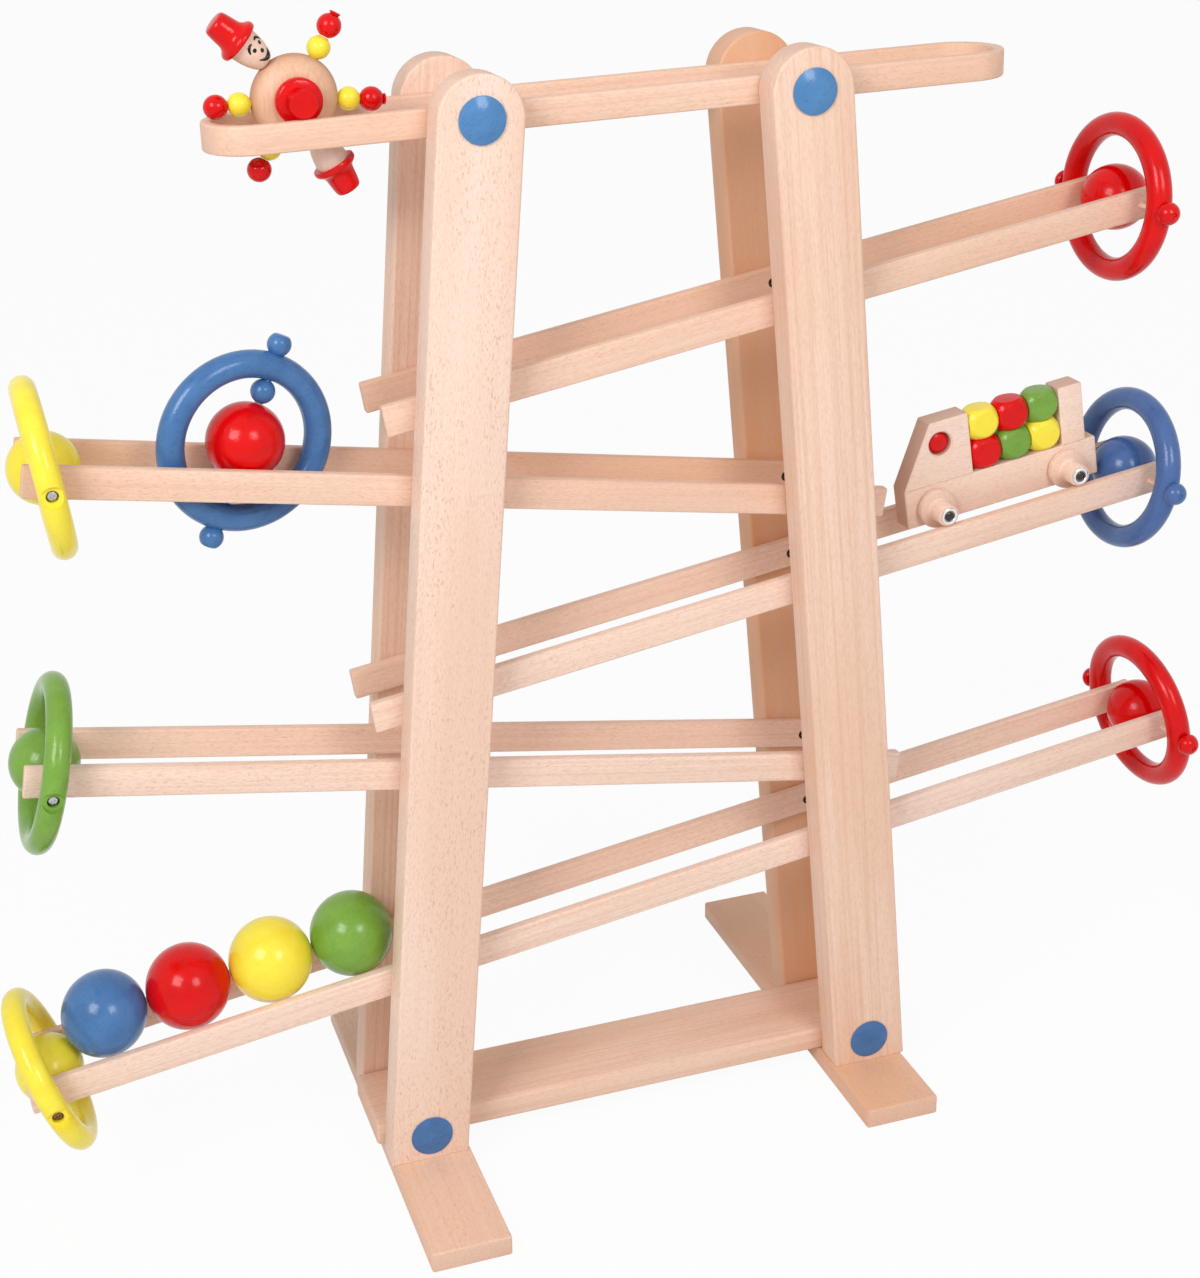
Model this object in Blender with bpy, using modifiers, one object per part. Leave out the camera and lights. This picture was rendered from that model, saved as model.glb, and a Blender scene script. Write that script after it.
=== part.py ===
"""Wooden ramp toy: a leaning post frame with a top track and five sloping ramps.

A tumbling figure, a ring roller, a truck and a train of balls run on it.
Metres, Z up. X runs along the ramps, the front of the toy faces -Y.
"""

import math

import bmesh
import bpy
from mathutils import Matrix, Vector

for leftover in list(bpy.data.objects):
    bpy.data.objects.remove(leftover, do_unlink=True)

# Driving sizes.
CLEARANCE = 0.0003

POST_WIDTH = 0.043
POST_THICKNESS = 0.018
POST_LEAN = 4.83
POST_TOP_Z = 0.5726
EDGE_ROUND = 0.003

FOOT_HEIGHT = 0.0115
FOOT_LENGTH = 0.228
FOOT_INSET = 0.0015
RIGHT_FOOT_SHIFT = 0.030

PLANK_LENGTH = 0.313
PLANK_OVERHANG = 0.025
PLANK_THICKNESS = 0.014

TRACK_LENGTH = 0.416
TRACK_THICKNESS = 0.014
TRACK_ABOVE_POST = 0.0057
TRACK_SLOPE = 0.8
TRACK_END_WALL = 0.005

RAIL_GAP = 0.0364
RAIL_THICKNESS = 0.0055
RAIL_HEIGHT = 0.016
RAIL_EDGE = 0.0007
RAIL_PAST_KNOB = 0.0077
RAIL_PAST_SCREW = 0.0125
LOWEST_RAMP_Z = 0.142
RAMP_SPACING = 0.0784
RAMP_OVERHANG = 0.0384

RING_RADIUS = 0.039
RING_TUBE = 0.0065
PIN_RADIUS = 0.003
KNOB_RADIUS = 0.0056

BUTTON_RADIUS = 0.0115
TOP_BUTTON_HEIGHT = 0.0035
LOW_BUTTON_HEIGHT = 0.0015
LOW_BUTTON_Z = 0.026

BALL_RADIUS = 0.0225

BOSS_RADIUS = 0.0068
HUB_RADIUS = 0.0111
TUMBLER_RADIUS = 0.0203
TUMBLER_WIDTH = 0.018
TUMBLER_FROM_END = 0.045
ARM_BEAD = 0.0056
HEAD_LENGTH = 0.0162
BRIM_RADIUS = 0.0107
HAT_HEIGHT = 0.0150

ROLLER_X = -0.1976
ROLLER_FIT = 1.083
ROLLER_YAW = 12.0
ROLLER_PEG_LEAN = 25.0

TRUCK_GAP = 0.0026
TRUCK_THICKNESS = 0.013
CHASSIS_LENGTH = 0.1185
CHASSIS_HEIGHT = 0.0225
CHASSIS_DROP = 0.003
CAB_HEIGHT = 0.0355
CAB_LENGTH = 0.0425
CAB_SLOPE = 0.019
TAIL_WIDTH = 0.0147
TAIL_STEP = 0.006
WHEEL_RADIUS = 0.0109
STUB_RADIUS = 0.006

RING_X_1 = 0.2840
RING_X_2 = 0.2955
RING_X_3 = 0.3020
RING_X_4 = 0.3100
RING_X_5 = 0.3240
RING_X_LOW = 0.3247

# One ramp per row, from the top down: side of its ring, slope, ring place, ring tilt.
RAMPS = (
    ("ramp_1", 1, 9.28, RING_X_1, 12.2),
    ("ramp_2", -1, 9.26, RING_X_2, -17.5),
    ("ramp_3", 1, 8.65, RING_X_3, 18.1),
    ("ramp_4", -1, 9.32, RING_X_4, 5.0),
    ("ramp_5", 1, 8.24, RING_X_5, 0.6),
)
LOW_RING_TILT = -13.9

# The figure's spokes: place round the axle, and lean where a peg sits askew.
TUMBLER_SPOKES = (
    ("arm_right", -5, 0),
    ("arm_upper_right", 60, 0),
    ("head_upper", 125, 14),
    ("arm_left", 182, 0),
    ("arm_lower_left", 240, 0),
    ("head_lower", 298, 0),
)

# Sizes that follow.
POST_FOOT_X = PLANK_LENGTH / 2 - PLANK_OVERHANG
FOOT_X = POST_FOOT_X - FOOT_INSET
RAIL_INNER_Y = RAIL_GAP / 2
RAIL_OUTER_Y = RAIL_INNER_Y + RAIL_THICKNESS
POST_INNER_Y = RAIL_OUTER_Y + CLEARANCE
POST_OUTER_Y = POST_INNER_Y + POST_THICKNESS
LEAN_SLOPE = math.tan(math.radians(POST_LEAN))
RING_OUTER = RING_RADIUS + RING_TUBE
RING_INNER = RING_RADIUS - RING_TUBE
BORE_RADIUS = PIN_RADIUS + CLEARANCE * 1.5
ROLLER_BALL = RAIL_INNER_Y * ROLLER_FIT

toy = bpy.data.collections.new("wooden_ramp_toy")
bpy.context.scene.collection.children.link(toy)
cutters = bpy.data.collections.new("cutters")
cutters.hide_render = True
bpy.context.scene.collection.children.link(cutters)


def paint(name, colour, roughness):
    made = bpy.data.materials.new(name)
    made.use_nodes = True
    shader = made.node_tree.nodes["Principled BSDF"]
    shader.inputs["Base Color"].default_value = (*colour, 1.0)
    shader.inputs["Roughness"].default_value = roughness
    return made


BEECH = paint("beech", (0.80, 0.58, 0.40), 0.55)
RED = paint("red_paint", (0.70, 0.02, 0.02), 0.25)
BLUE = paint("blue_paint", (0.06, 0.18, 0.45), 0.3)
YELLOW = paint("yellow_paint", (0.90, 0.72, 0.08), 0.3)
GREEN = paint("green_paint", (0.18, 0.36, 0.05), 0.3)


def keep(obj, name, slot):
    """Names a finished piece and files it in the toy's collection."""
    obj.name = name
    obj.data.name = name
    for home in list(obj.users_collection):
        home.objects.unlink(obj)
    toy.objects.link(obj)
    obj.data.materials.clear()
    obj.data.materials.append(slot)
    return obj


def drill(obj, centre, direction, radius, length):
    """Cuts a round hole through a piece."""
    bpy.ops.mesh.primitive_cylinder_add(vertices=12, radius=radius, depth=length)
    tool = bpy.context.object
    tool.name = obj.name + "_drill"
    tool.rotation_mode = "QUATERNION"
    tool.rotation_quaternion = Vector((0, 0, 1)).rotation_difference(Vector(direction))
    tool.location = centre
    for home in list(tool.users_collection):
        home.objects.unlink(tool)
    cutters.objects.link(tool)
    tool.hide_render = True
    tool.display_type = "WIRE"
    cut = obj.modifiers.new("drill", "BOOLEAN")
    cut.operation = "DIFFERENCE"
    cut.solver = "EXACT"
    cut.object = tool


def board(name, size, centre, edge, slot, turn=0.0, segments=1):
    """A plain rectangular piece with eased edges, turned about Y."""
    bpy.ops.mesh.primitive_cube_add(size=1.0)
    obj = bpy.context.object
    obj.data.transform(Matrix.Diagonal((*size, 1.0)))
    obj.location = centre
    obj.rotation_euler = (0.0, turn, 0.0)
    ease = obj.modifiers.new("edges", "BEVEL")
    ease.width = edge
    ease.segments = segments
    return keep(obj, name, slot)


def turned(name, profile, steps, centre, direction, slot, ring=False):
    """A piece turned on a lathe: profile is (radius, height), from the top down."""
    count = len(profile)
    lines = [(i, i + 1) for i in range(count - 1)]
    if ring:
        lines.append((count - 1, 0))
    mesh = bpy.data.meshes.new(name)
    mesh.from_pydata([(r, 0.0, h) for r, h in profile], lines, [])
    obj = bpy.data.objects.new(name, mesh)
    toy.objects.link(obj)
    spin = obj.modifiers.new("lathe", "SCREW")
    spin.steps = steps
    spin.render_steps = steps
    spin.use_merge_vertices = True
    spin.merge_threshold = 0.00001
    obj.rotation_mode = "QUATERNION"
    obj.rotation_quaternion = Vector((0, 0, 1)).rotation_difference(Vector(direction))
    obj.location = centre
    return keep(obj, name, slot)


def arc(height, radius, first, last, count):
    """Points of a round, with the angle counted from the top in degrees."""
    made = []
    for i in range(count + 1):
        angle = math.radians(first + (last - first) * i / count)
        made.append((radius * math.sin(angle), height + radius * math.cos(angle)))
    return made


def bead(height, radius, rod, count):
    """The round of a bead between two places where a rod meets it."""
    first = math.degrees(math.asin(rod / radius))
    return arc(height, radius, first, 180 - first, count)


def flat_piece(name, outlines, thickness, edge, slot):
    """A piece sawn from a board: closed outlines in X and Z, thickness along Y."""
    curve = bpy.data.curves.new(name, "CURVE")
    curve.dimensions = "2D"
    curve.fill_mode = "BOTH"
    for outline in outlines:
        spline = curve.splines.new("POLY")
        spline.points.add(len(outline) - 1)
        for point, (x, z) in zip(spline.points, outline):
            point.co = (x, z, 0.0, 1.0)
        spline.use_cyclic_u = True
    curve.extrude = thickness / 2
    sketch = bpy.data.objects.new(name + "_sketch", curve)
    bpy.context.scene.collection.objects.link(sketch)
    bpy.context.view_layer.update()
    graph = bpy.context.evaluated_depsgraph_get()
    mesh = bpy.data.meshes.new_from_object(sketch.evaluated_get(graph))
    bpy.data.objects.remove(sketch, do_unlink=True)
    shape = bmesh.new()
    shape.from_mesh(mesh)
    bmesh.ops.remove_doubles(shape, verts=shape.verts, dist=0.000001)
    bmesh.ops.dissolve_limit(
        shape, angle_limit=0.01, verts=shape.verts, edges=shape.edges
    )
    bmesh.ops.recalc_face_normals(shape, faces=shape.faces)
    shape.to_mesh(mesh)
    shape.free()
    mesh.transform(Matrix.Rotation(math.radians(90), 4, "X"))
    obj = bpy.data.objects.new(name, mesh)
    toy.objects.link(obj)
    ease = obj.modifiers.new("edges", "BEVEL")
    ease.width = edge
    ease.segments = 1
    ease.limit_method = "ANGLE"
    ease.angle_limit = math.radians(40)
    return keep(obj, name, slot)


# Frame: two feet, a plank across them, four leaning posts and the top track.
for side, word, shift in ((-1, "left", 0.0), (1, "right", RIGHT_FOOT_SHIFT)):
    board(
        "foot_" + word,
        (POST_WIDTH, FOOT_LENGTH, FOOT_HEIGHT),
        (side * FOOT_X, shift, FOOT_HEIGHT / 2),
        RAIL_EDGE,
        BEECH,
    )

FLOOR_OF_POSTS = FOOT_HEIGHT + CLEARANCE
board(
    "base_plank",
    (PLANK_LENGTH, RAIL_OUTER_Y * 2, PLANK_THICKNESS),
    (0.0, 0.0, FLOOR_OF_POSTS + PLANK_THICKNESS / 2),
    RAIL_EDGE * 2,
    BEECH,
)


def post_axis(z):
    """Distance of a post's axis from the middle of the toy at a height."""
    return POST_FOOT_X - (z - FOOT_HEIGHT) * LEAN_SLOPE


for side, word in ((-1, "left"), (1, "right")):
    half = POST_WIDTH / 2
    wide = half / math.cos(math.radians(POST_LEAN))
    low = post_axis(FLOOR_OF_POSTS)
    outline = [(side * (low - wide), FLOOR_OF_POSTS), (side * (low + wide), FLOOR_OF_POSTS)]
    for i in range(13):
        angle = math.radians(POST_LEAN + 180 * i / 12)
        x = post_axis(POST_TOP_Z) + half * math.cos(angle)
        outline.append((side * x, POST_TOP_Z + half * math.sin(angle)))
    for face, place in ((-1, "front"), (1, "rear")):
        post = flat_piece(
            "post_" + place + "_" + word, [outline], POST_THICKNESS, EDGE_ROUND, BEECH
        )
        post.location.y = face * (POST_INNER_Y + POST_THICKNESS / 2)
    for z, height, level in (
        (POST_TOP_Z, TOP_BUTTON_HEIGHT, "top"),
        (LOW_BUTTON_Z, LOW_BUTTON_HEIGHT, "low"),
    ):
        dome = [(0.0, height), (BUTTON_RADIUS * 0.6, height * 0.8)]
        dome += [(BUTTON_RADIUS, height * 0.3), (BUTTON_RADIUS, 0.0), (0.0, 0.0)]
        turned(
            "button_" + level + "_" + word,
            dome,
            16,
            (side * post_axis(z), -POST_OUTER_Y - CLEARANCE, z),
            (0, -1, 0),
            BLUE,
        )


class Ramp:
    """Places along a ramp or the track, and above the top edges of its rails."""

    def __init__(self, top, rise):
        self.top = top
        self.angle = math.radians(rise)

    def at(self, along, above, y=0.0):
        c = math.cos(self.angle)
        s = math.sin(self.angle)
        return (along * c - above * s, y, self.top + along * s + above * c)

    def along(self, x, above=0.0):
        return (x + above * math.sin(self.angle)) / math.cos(self.angle)


def stadium(half_length, half_width):
    """A long shape with round ends."""
    made = []
    for end in (1, -1):
        for i in range(13):
            angle = math.radians(-90 + 180 * i / 12)
            x = half_length - half_width + half_width * math.cos(angle)
            made.append((end * x, end * half_width * math.sin(angle)))
    return made


track = flat_piece(
    "top_track",
    [
        stadium(TRACK_LENGTH / 2, RAIL_OUTER_Y),
        stadium(TRACK_LENGTH / 2 - TRACK_END_WALL, RAIL_INNER_Y)[::-1],
    ],
    TRACK_THICKNESS,
    RAIL_EDGE,
    BEECH,
)
line = Ramp(POST_TOP_Z + TRACK_ABOVE_POST, TRACK_SLOPE)
track.rotation_euler = (math.radians(-90), -line.angle, 0.0)
track.location = line.at(0.0, -TRACK_THICKNESS / 2)


# Ramps: two rails each, held apart at the ring end by a ball on a cross pin.
ramps = {}
RING_PAINTS = (RED, YELLOW, BLUE, GREEN, RED)


def ring_end(name, ramp, along, tilt, rails, slot, knobs):
    """The ball, cross pin and swinging ring at the end of a ramp."""
    centre = ramp.at(along, -RAIL_HEIGHT / 2)
    for rail in rails:
        drill(rail, centre, (0, 1, 0), BORE_RADIUS, RAIL_OUTER_Y * 2.5)
    core = bead(0.0, RAIL_INNER_Y - CLEARANCE, PIN_RADIUS, 8)
    if knobs:
        base = RING_OUTER + CLEARANCE
        top = arc(base, KNOB_RADIUS, 0, 90, 3) + [(PIN_RADIUS, base)]
    else:
        base = RING_OUTER - CLEARANCE * 5
        top = [(0.0, base), (PIN_RADIUS, base)]
    low = [(r, -h) for r, h in reversed(top)]
    turned("end_ball_" + name, top + core + low, 12, centre, (0, 1, 0), slot)
    bpy.ops.mesh.primitive_torus_add(
        major_radius=RING_RADIUS,
        minor_radius=RING_TUBE,
        major_segments=28,
        minor_segments=8,
    )
    ring = bpy.context.object
    ring.location = centre
    ring.rotation_euler.y = math.radians(90 + tilt) - ramp.angle
    keep(ring, "ring_" + name, slot)
    drill(ring, centre, (0, 1, 0), BORE_RADIUS, RING_OUTER * 2.5)


for number, (name, side, slope, ring_x, tilt) in enumerate(RAMPS, start=1):
    ramp = Ramp(LOWEST_RAMP_Z + RAMP_SPACING * (len(RAMPS) - number), slope * side)
    ramps[number] = ramp
    both_rings = number == len(RAMPS)
    pin = ramp.along(side * ring_x, -RAIL_HEIGHT / 2)
    near = pin + (RAIL_PAST_KNOB if side > 0 else -RAIL_PAST_SCREW)
    if both_rings:
        low_pin = ramp.along(-RING_X_LOW, -RAIL_HEIGHT / 2)
        far = low_pin - RAIL_PAST_SCREW
    else:
        reach = post_axis(ramp.top) + RAMP_OVERHANG
        reach += reach * math.tan(abs(ramp.angle)) * LEAN_SLOPE
        far = ramp.along(-side * reach)
    rails = []
    for face, place in ((-1, "front"), (1, "rear")):
        y = face * (RAIL_OUTER_Y + RAIL_INNER_Y) / 2
        rails.append(
            board(
                name + "_" + place + "_rail",
                (abs(near - far), RAIL_THICKNESS, RAIL_HEIGHT),
                ramp.at((near + far) / 2, -RAIL_HEIGHT / 2, y),
                RAIL_EDGE,
                BEECH,
                turn=-ramp.angle,
            )
        )
    slot = RING_PAINTS[number - 1]
    ring_end(name, ramp, pin, tilt, rails, slot, side > 0)
    if both_rings:
        ring_end(name + "_low", ramp, low_pin, LOW_RING_TILT, rails, YELLOW, False)


def seat(radius):
    """Height of a ball's centre over the rails it rests between."""
    return math.sqrt((radius + CLEARANCE) ** 2 - RAIL_INNER_Y**2)


# Loose balls: a train against the ball at the low end of the last ramp.
last = ramps[len(RAMPS)]
drop = seat(BALL_RADIUS) + RAIL_HEIGHT / 2
touch = BALL_RADIUS + RAIL_INNER_Y
first_ball = low_pin + math.sqrt(touch**2 - drop**2)
for i, slot in enumerate((BLUE, RED, YELLOW, GREEN)):
    turned(
        f"loose_ball_{i + 1}",
        arc(0.0, BALL_RADIUS, 0, 180, 12),
        18,
        last.at(first_ball + i * (BALL_RADIUS * 2 + CLEARANCE), seat(BALL_RADIUS)),
        (0, 1, 0),
        slot,
    )

# Tumbling figure at the low end of the top track.
lift = BOSS_RADIUS + CLEARANCE
AXLE = Vector(line.at(line.along(TUMBLER_FROM_END - TRACK_LENGTH / 2, lift), lift))
flank = TUMBLER_WIDTH / 2
spindle = BOSS_RADIUS * 0.6
hub_end = RAIL_INNER_Y * 0.77
half_axle = [(0.0, RAIL_OUTER_Y - CLEARANCE * 4), (BOSS_RADIUS, RAIL_OUTER_Y - CLEARANCE * 4)]
half_axle += [(BOSS_RADIUS, hub_end), (HUB_RADIUS, hub_end)]
half_axle += [(HUB_RADIUS, flank + CLEARANCE), (spindle, flank + CLEARANCE)]
turned(
    "tumbler_axle",
    half_axle + [(r, -h) for r, h in reversed(half_axle)],
    18,
    AXLE,
    (0, 1, 0),
    RED,
)
tilt = math.degrees(math.acos(flank / TUMBLER_RADIUS))
hole = spindle + CLEARANCE
turned(
    "tumbler_body",
    [(hole, flank)] + arc(0.0, TUMBLER_RADIUS, tilt, 180 - tilt, 6) + [(hole, -flank)],
    24,
    AXLE,
    (0, 1, 0),
    BEECH,
    ring=True,
)

start = TUMBLER_RADIUS + CLEARANCE
peg = ARM_BEAD * 0.4
inner = start + ARM_BEAD
outer = inner + ARM_BEAD * 2.02
arm = [(0.0, outer + ARM_BEAD * 1.2), (peg, outer + ARM_BEAD * 1.2)]
arm += bead(outer, ARM_BEAD * 1.03, peg, 6) + bead(inner, ARM_BEAD, peg, 6)[:-1]
arm += [(peg, start), (0.0, start)]
brim = start + HEAD_LENGTH
crown = brim + HAT_HEIGHT
head = [(0.0, crown), (BRIM_RADIUS * 0.55, crown - HAT_HEIGHT * 0.05)]
head += [(BRIM_RADIUS * 0.6, crown - HAT_HEIGHT * 0.2), (BRIM_RADIUS * 0.5, brim + HAT_HEIGHT * 0.3)]
head += [(BRIM_RADIUS * 0.6, brim + HAT_HEIGHT * 0.2), (BRIM_RADIUS, brim + HAT_HEIGHT * 0.12)]
head += [(BRIM_RADIUS, brim), (BRIM_RADIUS * 0.86, brim - HEAD_LENGTH * 0.02)]
head += [(BRIM_RADIUS * 0.84, brim - HEAD_LENGTH * 0.35), (BRIM_RADIUS * 0.6, start + HEAD_LENGTH * 0.15)]
head += [(BRIM_RADIUS * 0.4, start), (0.0, start)]


def pointing(angle):
    """A direction in the plane of the ramps, counted up from X in degrees."""
    return Vector((math.cos(math.radians(angle)), 0.0, math.sin(math.radians(angle))))


for name, angle, askew in TUMBLER_SPOKES:
    is_head = name.startswith("head")
    way = pointing(angle + askew)
    off = start + BRIM_RADIUS * 0.2 * math.sin(math.radians(askew))
    turned(
        "tumbler_" + name,
        head if is_head else arm,
        12,
        AXLE + pointing(angle) * off - way * start,
        way,
        BEECH if is_head else RED,
    )

# Ring roller: a ball that rides between the rails, with a ring pegged round it.
second = ramps[2]
HUB = Vector(second.at(second.along(ROLLER_X, seat(ROLLER_BALL)), seat(ROLLER_BALL)))
yaw = math.radians(ROLLER_YAW)
turned(
    "roller_ball", arc(0.0, ROLLER_BALL, 0, 180, 12), 18, HUB, (0, 1, 0), RED
)
bpy.ops.mesh.primitive_torus_add(
    major_radius=RING_RADIUS, minor_radius=RING_TUBE, major_segments=32, minor_segments=8
)
roller_ring = bpy.context.object
roller_ring.location = HUB
roller_ring.rotation_euler = (math.radians(90), 0.0, yaw)
keep(roller_ring, "roller_ring", BLUE)
lean = math.radians(ROLLER_PEG_LEAN)
peg_line = Vector((math.sin(lean) * math.cos(yaw), math.sin(lean) * math.sin(yaw), math.cos(lean)))
drill(roller_ring, HUB, peg_line, PIN_RADIUS * 0.8 + CLEARANCE * 1.5, RING_OUTER * 2.5)
room = (RING_INNER - ROLLER_BALL) / 2
knob = room - CLEARANCE
mid = ROLLER_BALL + room
end = RING_OUTER + CLEARANCE + knob
rod = PIN_RADIUS * 0.8
stick = bead(end, knob, rod, 6)
stick[0] = (rod, end + knob)
stick = [(0.0, end + knob)] + stick + bead(mid, knob, rod, 6)[:-1]
stick += [(rod, ROLLER_BALL + CLEARANCE), (0.0, ROLLER_BALL + CLEARANCE)]
for word, way in (("upper", 1), ("lower", -1)):
    turned("roller_peg_" + word, stick, 12, HUB, way * peg_line, BLUE)

# Truck on the third ramp.
third = ramps[3]
stop = third.along(RING_X_3, -RAIL_HEIGHT / 2) - RAIL_INNER_Y
TRUCK_NOSE = stop - TRUCK_GAP - CHASSIS_LENGTH
deck = CHASSIS_HEIGHT - CHASSIS_DROP
tail = TRUCK_NOSE + CHASSIS_LENGTH
bed_front = TRUCK_NOSE + CAB_LENGTH
bed_rear = tail - TAIL_STEP - TAIL_WIDTH
roof = deck + CAB_HEIGHT
side_view = [
    (TRUCK_NOSE, -CHASSIS_DROP),
    (tail, -CHASSIS_DROP),
    (tail, deck),
    (tail - TAIL_STEP, deck),
    (tail - TAIL_STEP, roof - CHASSIS_DROP / 2),
    (bed_rear, roof - CHASSIS_DROP / 2),
    (bed_rear, deck),
    (bed_front, deck),
    (bed_front, roof),
    (TRUCK_NOSE + CAB_SLOPE, roof),
    (TRUCK_NOSE, deck),
]
side_view = [(third.at(u, v)[0], third.at(u, v)[2]) for u, v in side_view]
truck = flat_piece("truck_body", [side_view], TRUCK_THICKNESS, RAIL_EDGE, BEECH)

axle_above = STUB_RADIUS + CLEARANCE
truck_side = TRUCK_THICKNESS / 2 + CLEARANCE
tread_end = RAIL_OUTER_Y - CLEARANCE * 5
flange_end = truck_side + (RAIL_INNER_Y - truck_side) * 0.42
cap = STUB_RADIUS * 0.78
wheel = [(0.0, tread_end + CLEARANCE * 4), (cap * 0.7, tread_end + CLEARANCE * 3)]
wheel += [(cap, tread_end), (STUB_RADIUS, tread_end), (STUB_RADIUS, flange_end)]
wheel += [(WHEEL_RADIUS * 0.95, flange_end), (WHEEL_RADIUS, (flange_end + truck_side) / 2)]
wheel += [(WHEEL_RADIUS * 0.95, truck_side), (PIN_RADIUS, truck_side)]
for word, along in (
    ("front", TRUCK_NOSE + CAB_LENGTH * 0.4),
    ("rear", tail - TAIL_STEP - TAIL_WIDTH),
):
    hub = third.at(along, axle_above)
    drill(truck, hub, (0, 1, 0), BORE_RADIUS, TRUCK_THICKNESS * 2)
    turned(
        "truck_" + word + "_wheels",
        wheel + [(r, -h) for r, h in reversed(wheel)],
        16,
        hub,
        (0, 1, 0),
        BEECH,
    )

window = CAB_HEIGHT * 0.16
eye = third.at(TRUCK_NOSE + CAB_LENGTH * 0.575, deck + CAB_HEIGHT * 0.62)
drill(truck, eye, (0, 1, 0), window + CLEARANCE * 1.5, TRUCK_THICKNESS * 2)
pane = [(0.0, TRUCK_THICKNESS * 0.6), (window * 0.7, TRUCK_THICKNESS * 0.57)]
pane += [(window, TRUCK_THICKNESS / 2)]
turned(
    "truck_window",
    pane + [(r, -h) for r, h in reversed(pane)],
    12,
    eye,
    (0, 1, 0),
    RED,
)

block = (bed_rear - bed_front - CLEARANCE * 4) / 3
tall = block * 0.94
deep = TRUCK_THICKNESS * 1.15
number = 0
for row, paints in enumerate(((RED, GREEN, YELLOW), (YELLOW, RED, GREEN))):
    for place, slot in enumerate(paints):
        number += 1
        board(
            f"cargo_bead_{number}",
            (block, deep, tall),
            third.at(
                bed_front + (block + CLEARANCE) * (place + 0.5) + CLEARANCE / 2,
                deck + (tall + CLEARANCE) * (row + 0.5) + CLEARANCE / 2,
            ),
            block * 0.27,
            slot,
            turn=-third.angle,
            segments=2,
        )

# The finished toy is moved so that its origin is under the middle of its outline.
bpy.context.view_layer.update()
graph = bpy.context.evaluated_depsgraph_get()
low = Vector((math.inf, math.inf, math.inf))
high = -low
for obj in toy.objects:
    final = obj.evaluated_get(graph)
    mesh = final.to_mesh()
    for vertex in mesh.vertices:
        spot = final.matrix_world @ vertex.co
        low = Vector(map(min, low, spot))
        high = Vector(map(max, high, spot))
    final.to_mesh_clear()
for obj in list(toy.objects) + list(cutters.objects):
    obj.location.x -= (low.x + high.x) / 2
    obj.location.y -= (low.y + high.y) / 2
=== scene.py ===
"""The looks of the wooden ramp toy: turned and sawn beech, gloss paint, steel screws."""

import math

import bmesh
import bpy
from mathutils import Matrix, Vector


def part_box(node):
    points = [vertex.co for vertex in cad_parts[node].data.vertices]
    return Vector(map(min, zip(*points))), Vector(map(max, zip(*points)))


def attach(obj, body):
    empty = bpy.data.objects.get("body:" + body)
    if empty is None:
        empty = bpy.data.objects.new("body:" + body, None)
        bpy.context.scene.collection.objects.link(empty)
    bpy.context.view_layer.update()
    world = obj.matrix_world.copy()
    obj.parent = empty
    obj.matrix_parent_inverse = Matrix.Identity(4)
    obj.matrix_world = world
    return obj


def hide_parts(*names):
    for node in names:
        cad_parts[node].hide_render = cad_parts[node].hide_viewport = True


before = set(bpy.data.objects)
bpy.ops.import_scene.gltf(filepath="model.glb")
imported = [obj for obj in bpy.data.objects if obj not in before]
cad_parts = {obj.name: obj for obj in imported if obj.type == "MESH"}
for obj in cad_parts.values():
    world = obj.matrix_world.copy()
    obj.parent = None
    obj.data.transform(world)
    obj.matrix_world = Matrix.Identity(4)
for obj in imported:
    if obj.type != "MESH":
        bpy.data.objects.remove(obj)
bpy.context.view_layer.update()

MM = 0.001


def middle(node):
    """The middle of a solid of the frame."""
    low, high = (Vector(corner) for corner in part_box(node))
    return (low + high) / 2


def reach(node):
    """The size of a solid of the frame."""
    low, high = (Vector(corner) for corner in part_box(node))
    return high - low


PLANK = middle("base_plank")
MID_X, MID_Y = PLANK.x, PLANK.y

# Sizes that several pieces share.
POST_WIDTH = 43 * MM
POST_THICKNESS = 18 * MM
POST_LEAN = math.radians(4.83)
POST_TOP_Z = 572.6 * MM
POST_FOOT_X = 131.5 * MM
FOOT_TOP = 11.5 * MM
POST_Y = 33 * MM
RAIL_INNER = 18.2 * MM
RAIL_OUTER = 23.7 * MM
RAIL_HEIGHT = 16 * MM
TRACK_THICKNESS = 14 * MM
TRACK_RISE = math.radians(0.8)
RING_RADIUS = 39 * MM
RING_TUBE = 6.5 * MM

# Slope of each ramp in degrees, above nought where it rises to the right.
SLOPES = {"ramp_1": 9.28, "ramp_2": -9.26, "ramp_3": 8.65, "ramp_4": -9.32, "ramp_5": 8.24}
# Each ring's tilt in degrees, its paint, and whether its pin ends in knobs.
RINGS = {
    "ramp_1": (12.2, "red", True),
    "ramp_2": (-17.5, "yellow", False),
    "ramp_3": (18.1, "deep_blue", True),
    "ramp_4": (5.0, "green", False),
    "ramp_5": (0.6, "red", True),
    "ramp_5_low": (-13.9, "yellow", False),
}
# The sides and the rows: which way each lies from the middle, and its name.
SIDES = ((-1, "left"), (1, "right"))
ROWS = ((-1, "front"), (1, "rear"))


def mm(*values):
    """Millimetres as metres."""
    return tuple(value * MM for value in values)


def post_axis(z):
    """How far a post's axis is from the middle of the toy at a height."""
    return POST_FOOT_X - (z - FOOT_TOP) * math.tan(POST_LEAN)


def srgb(red, green, blue):
    """A colour as the eye reads it, made linear."""
    made = []
    for value in (red, green, blue):
        value /= 255
        made.append(value / 12.92 if value <= 0.04045 else ((value + 0.055) / 1.055) ** 2.4)
    return (*made, 1.0)


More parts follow.
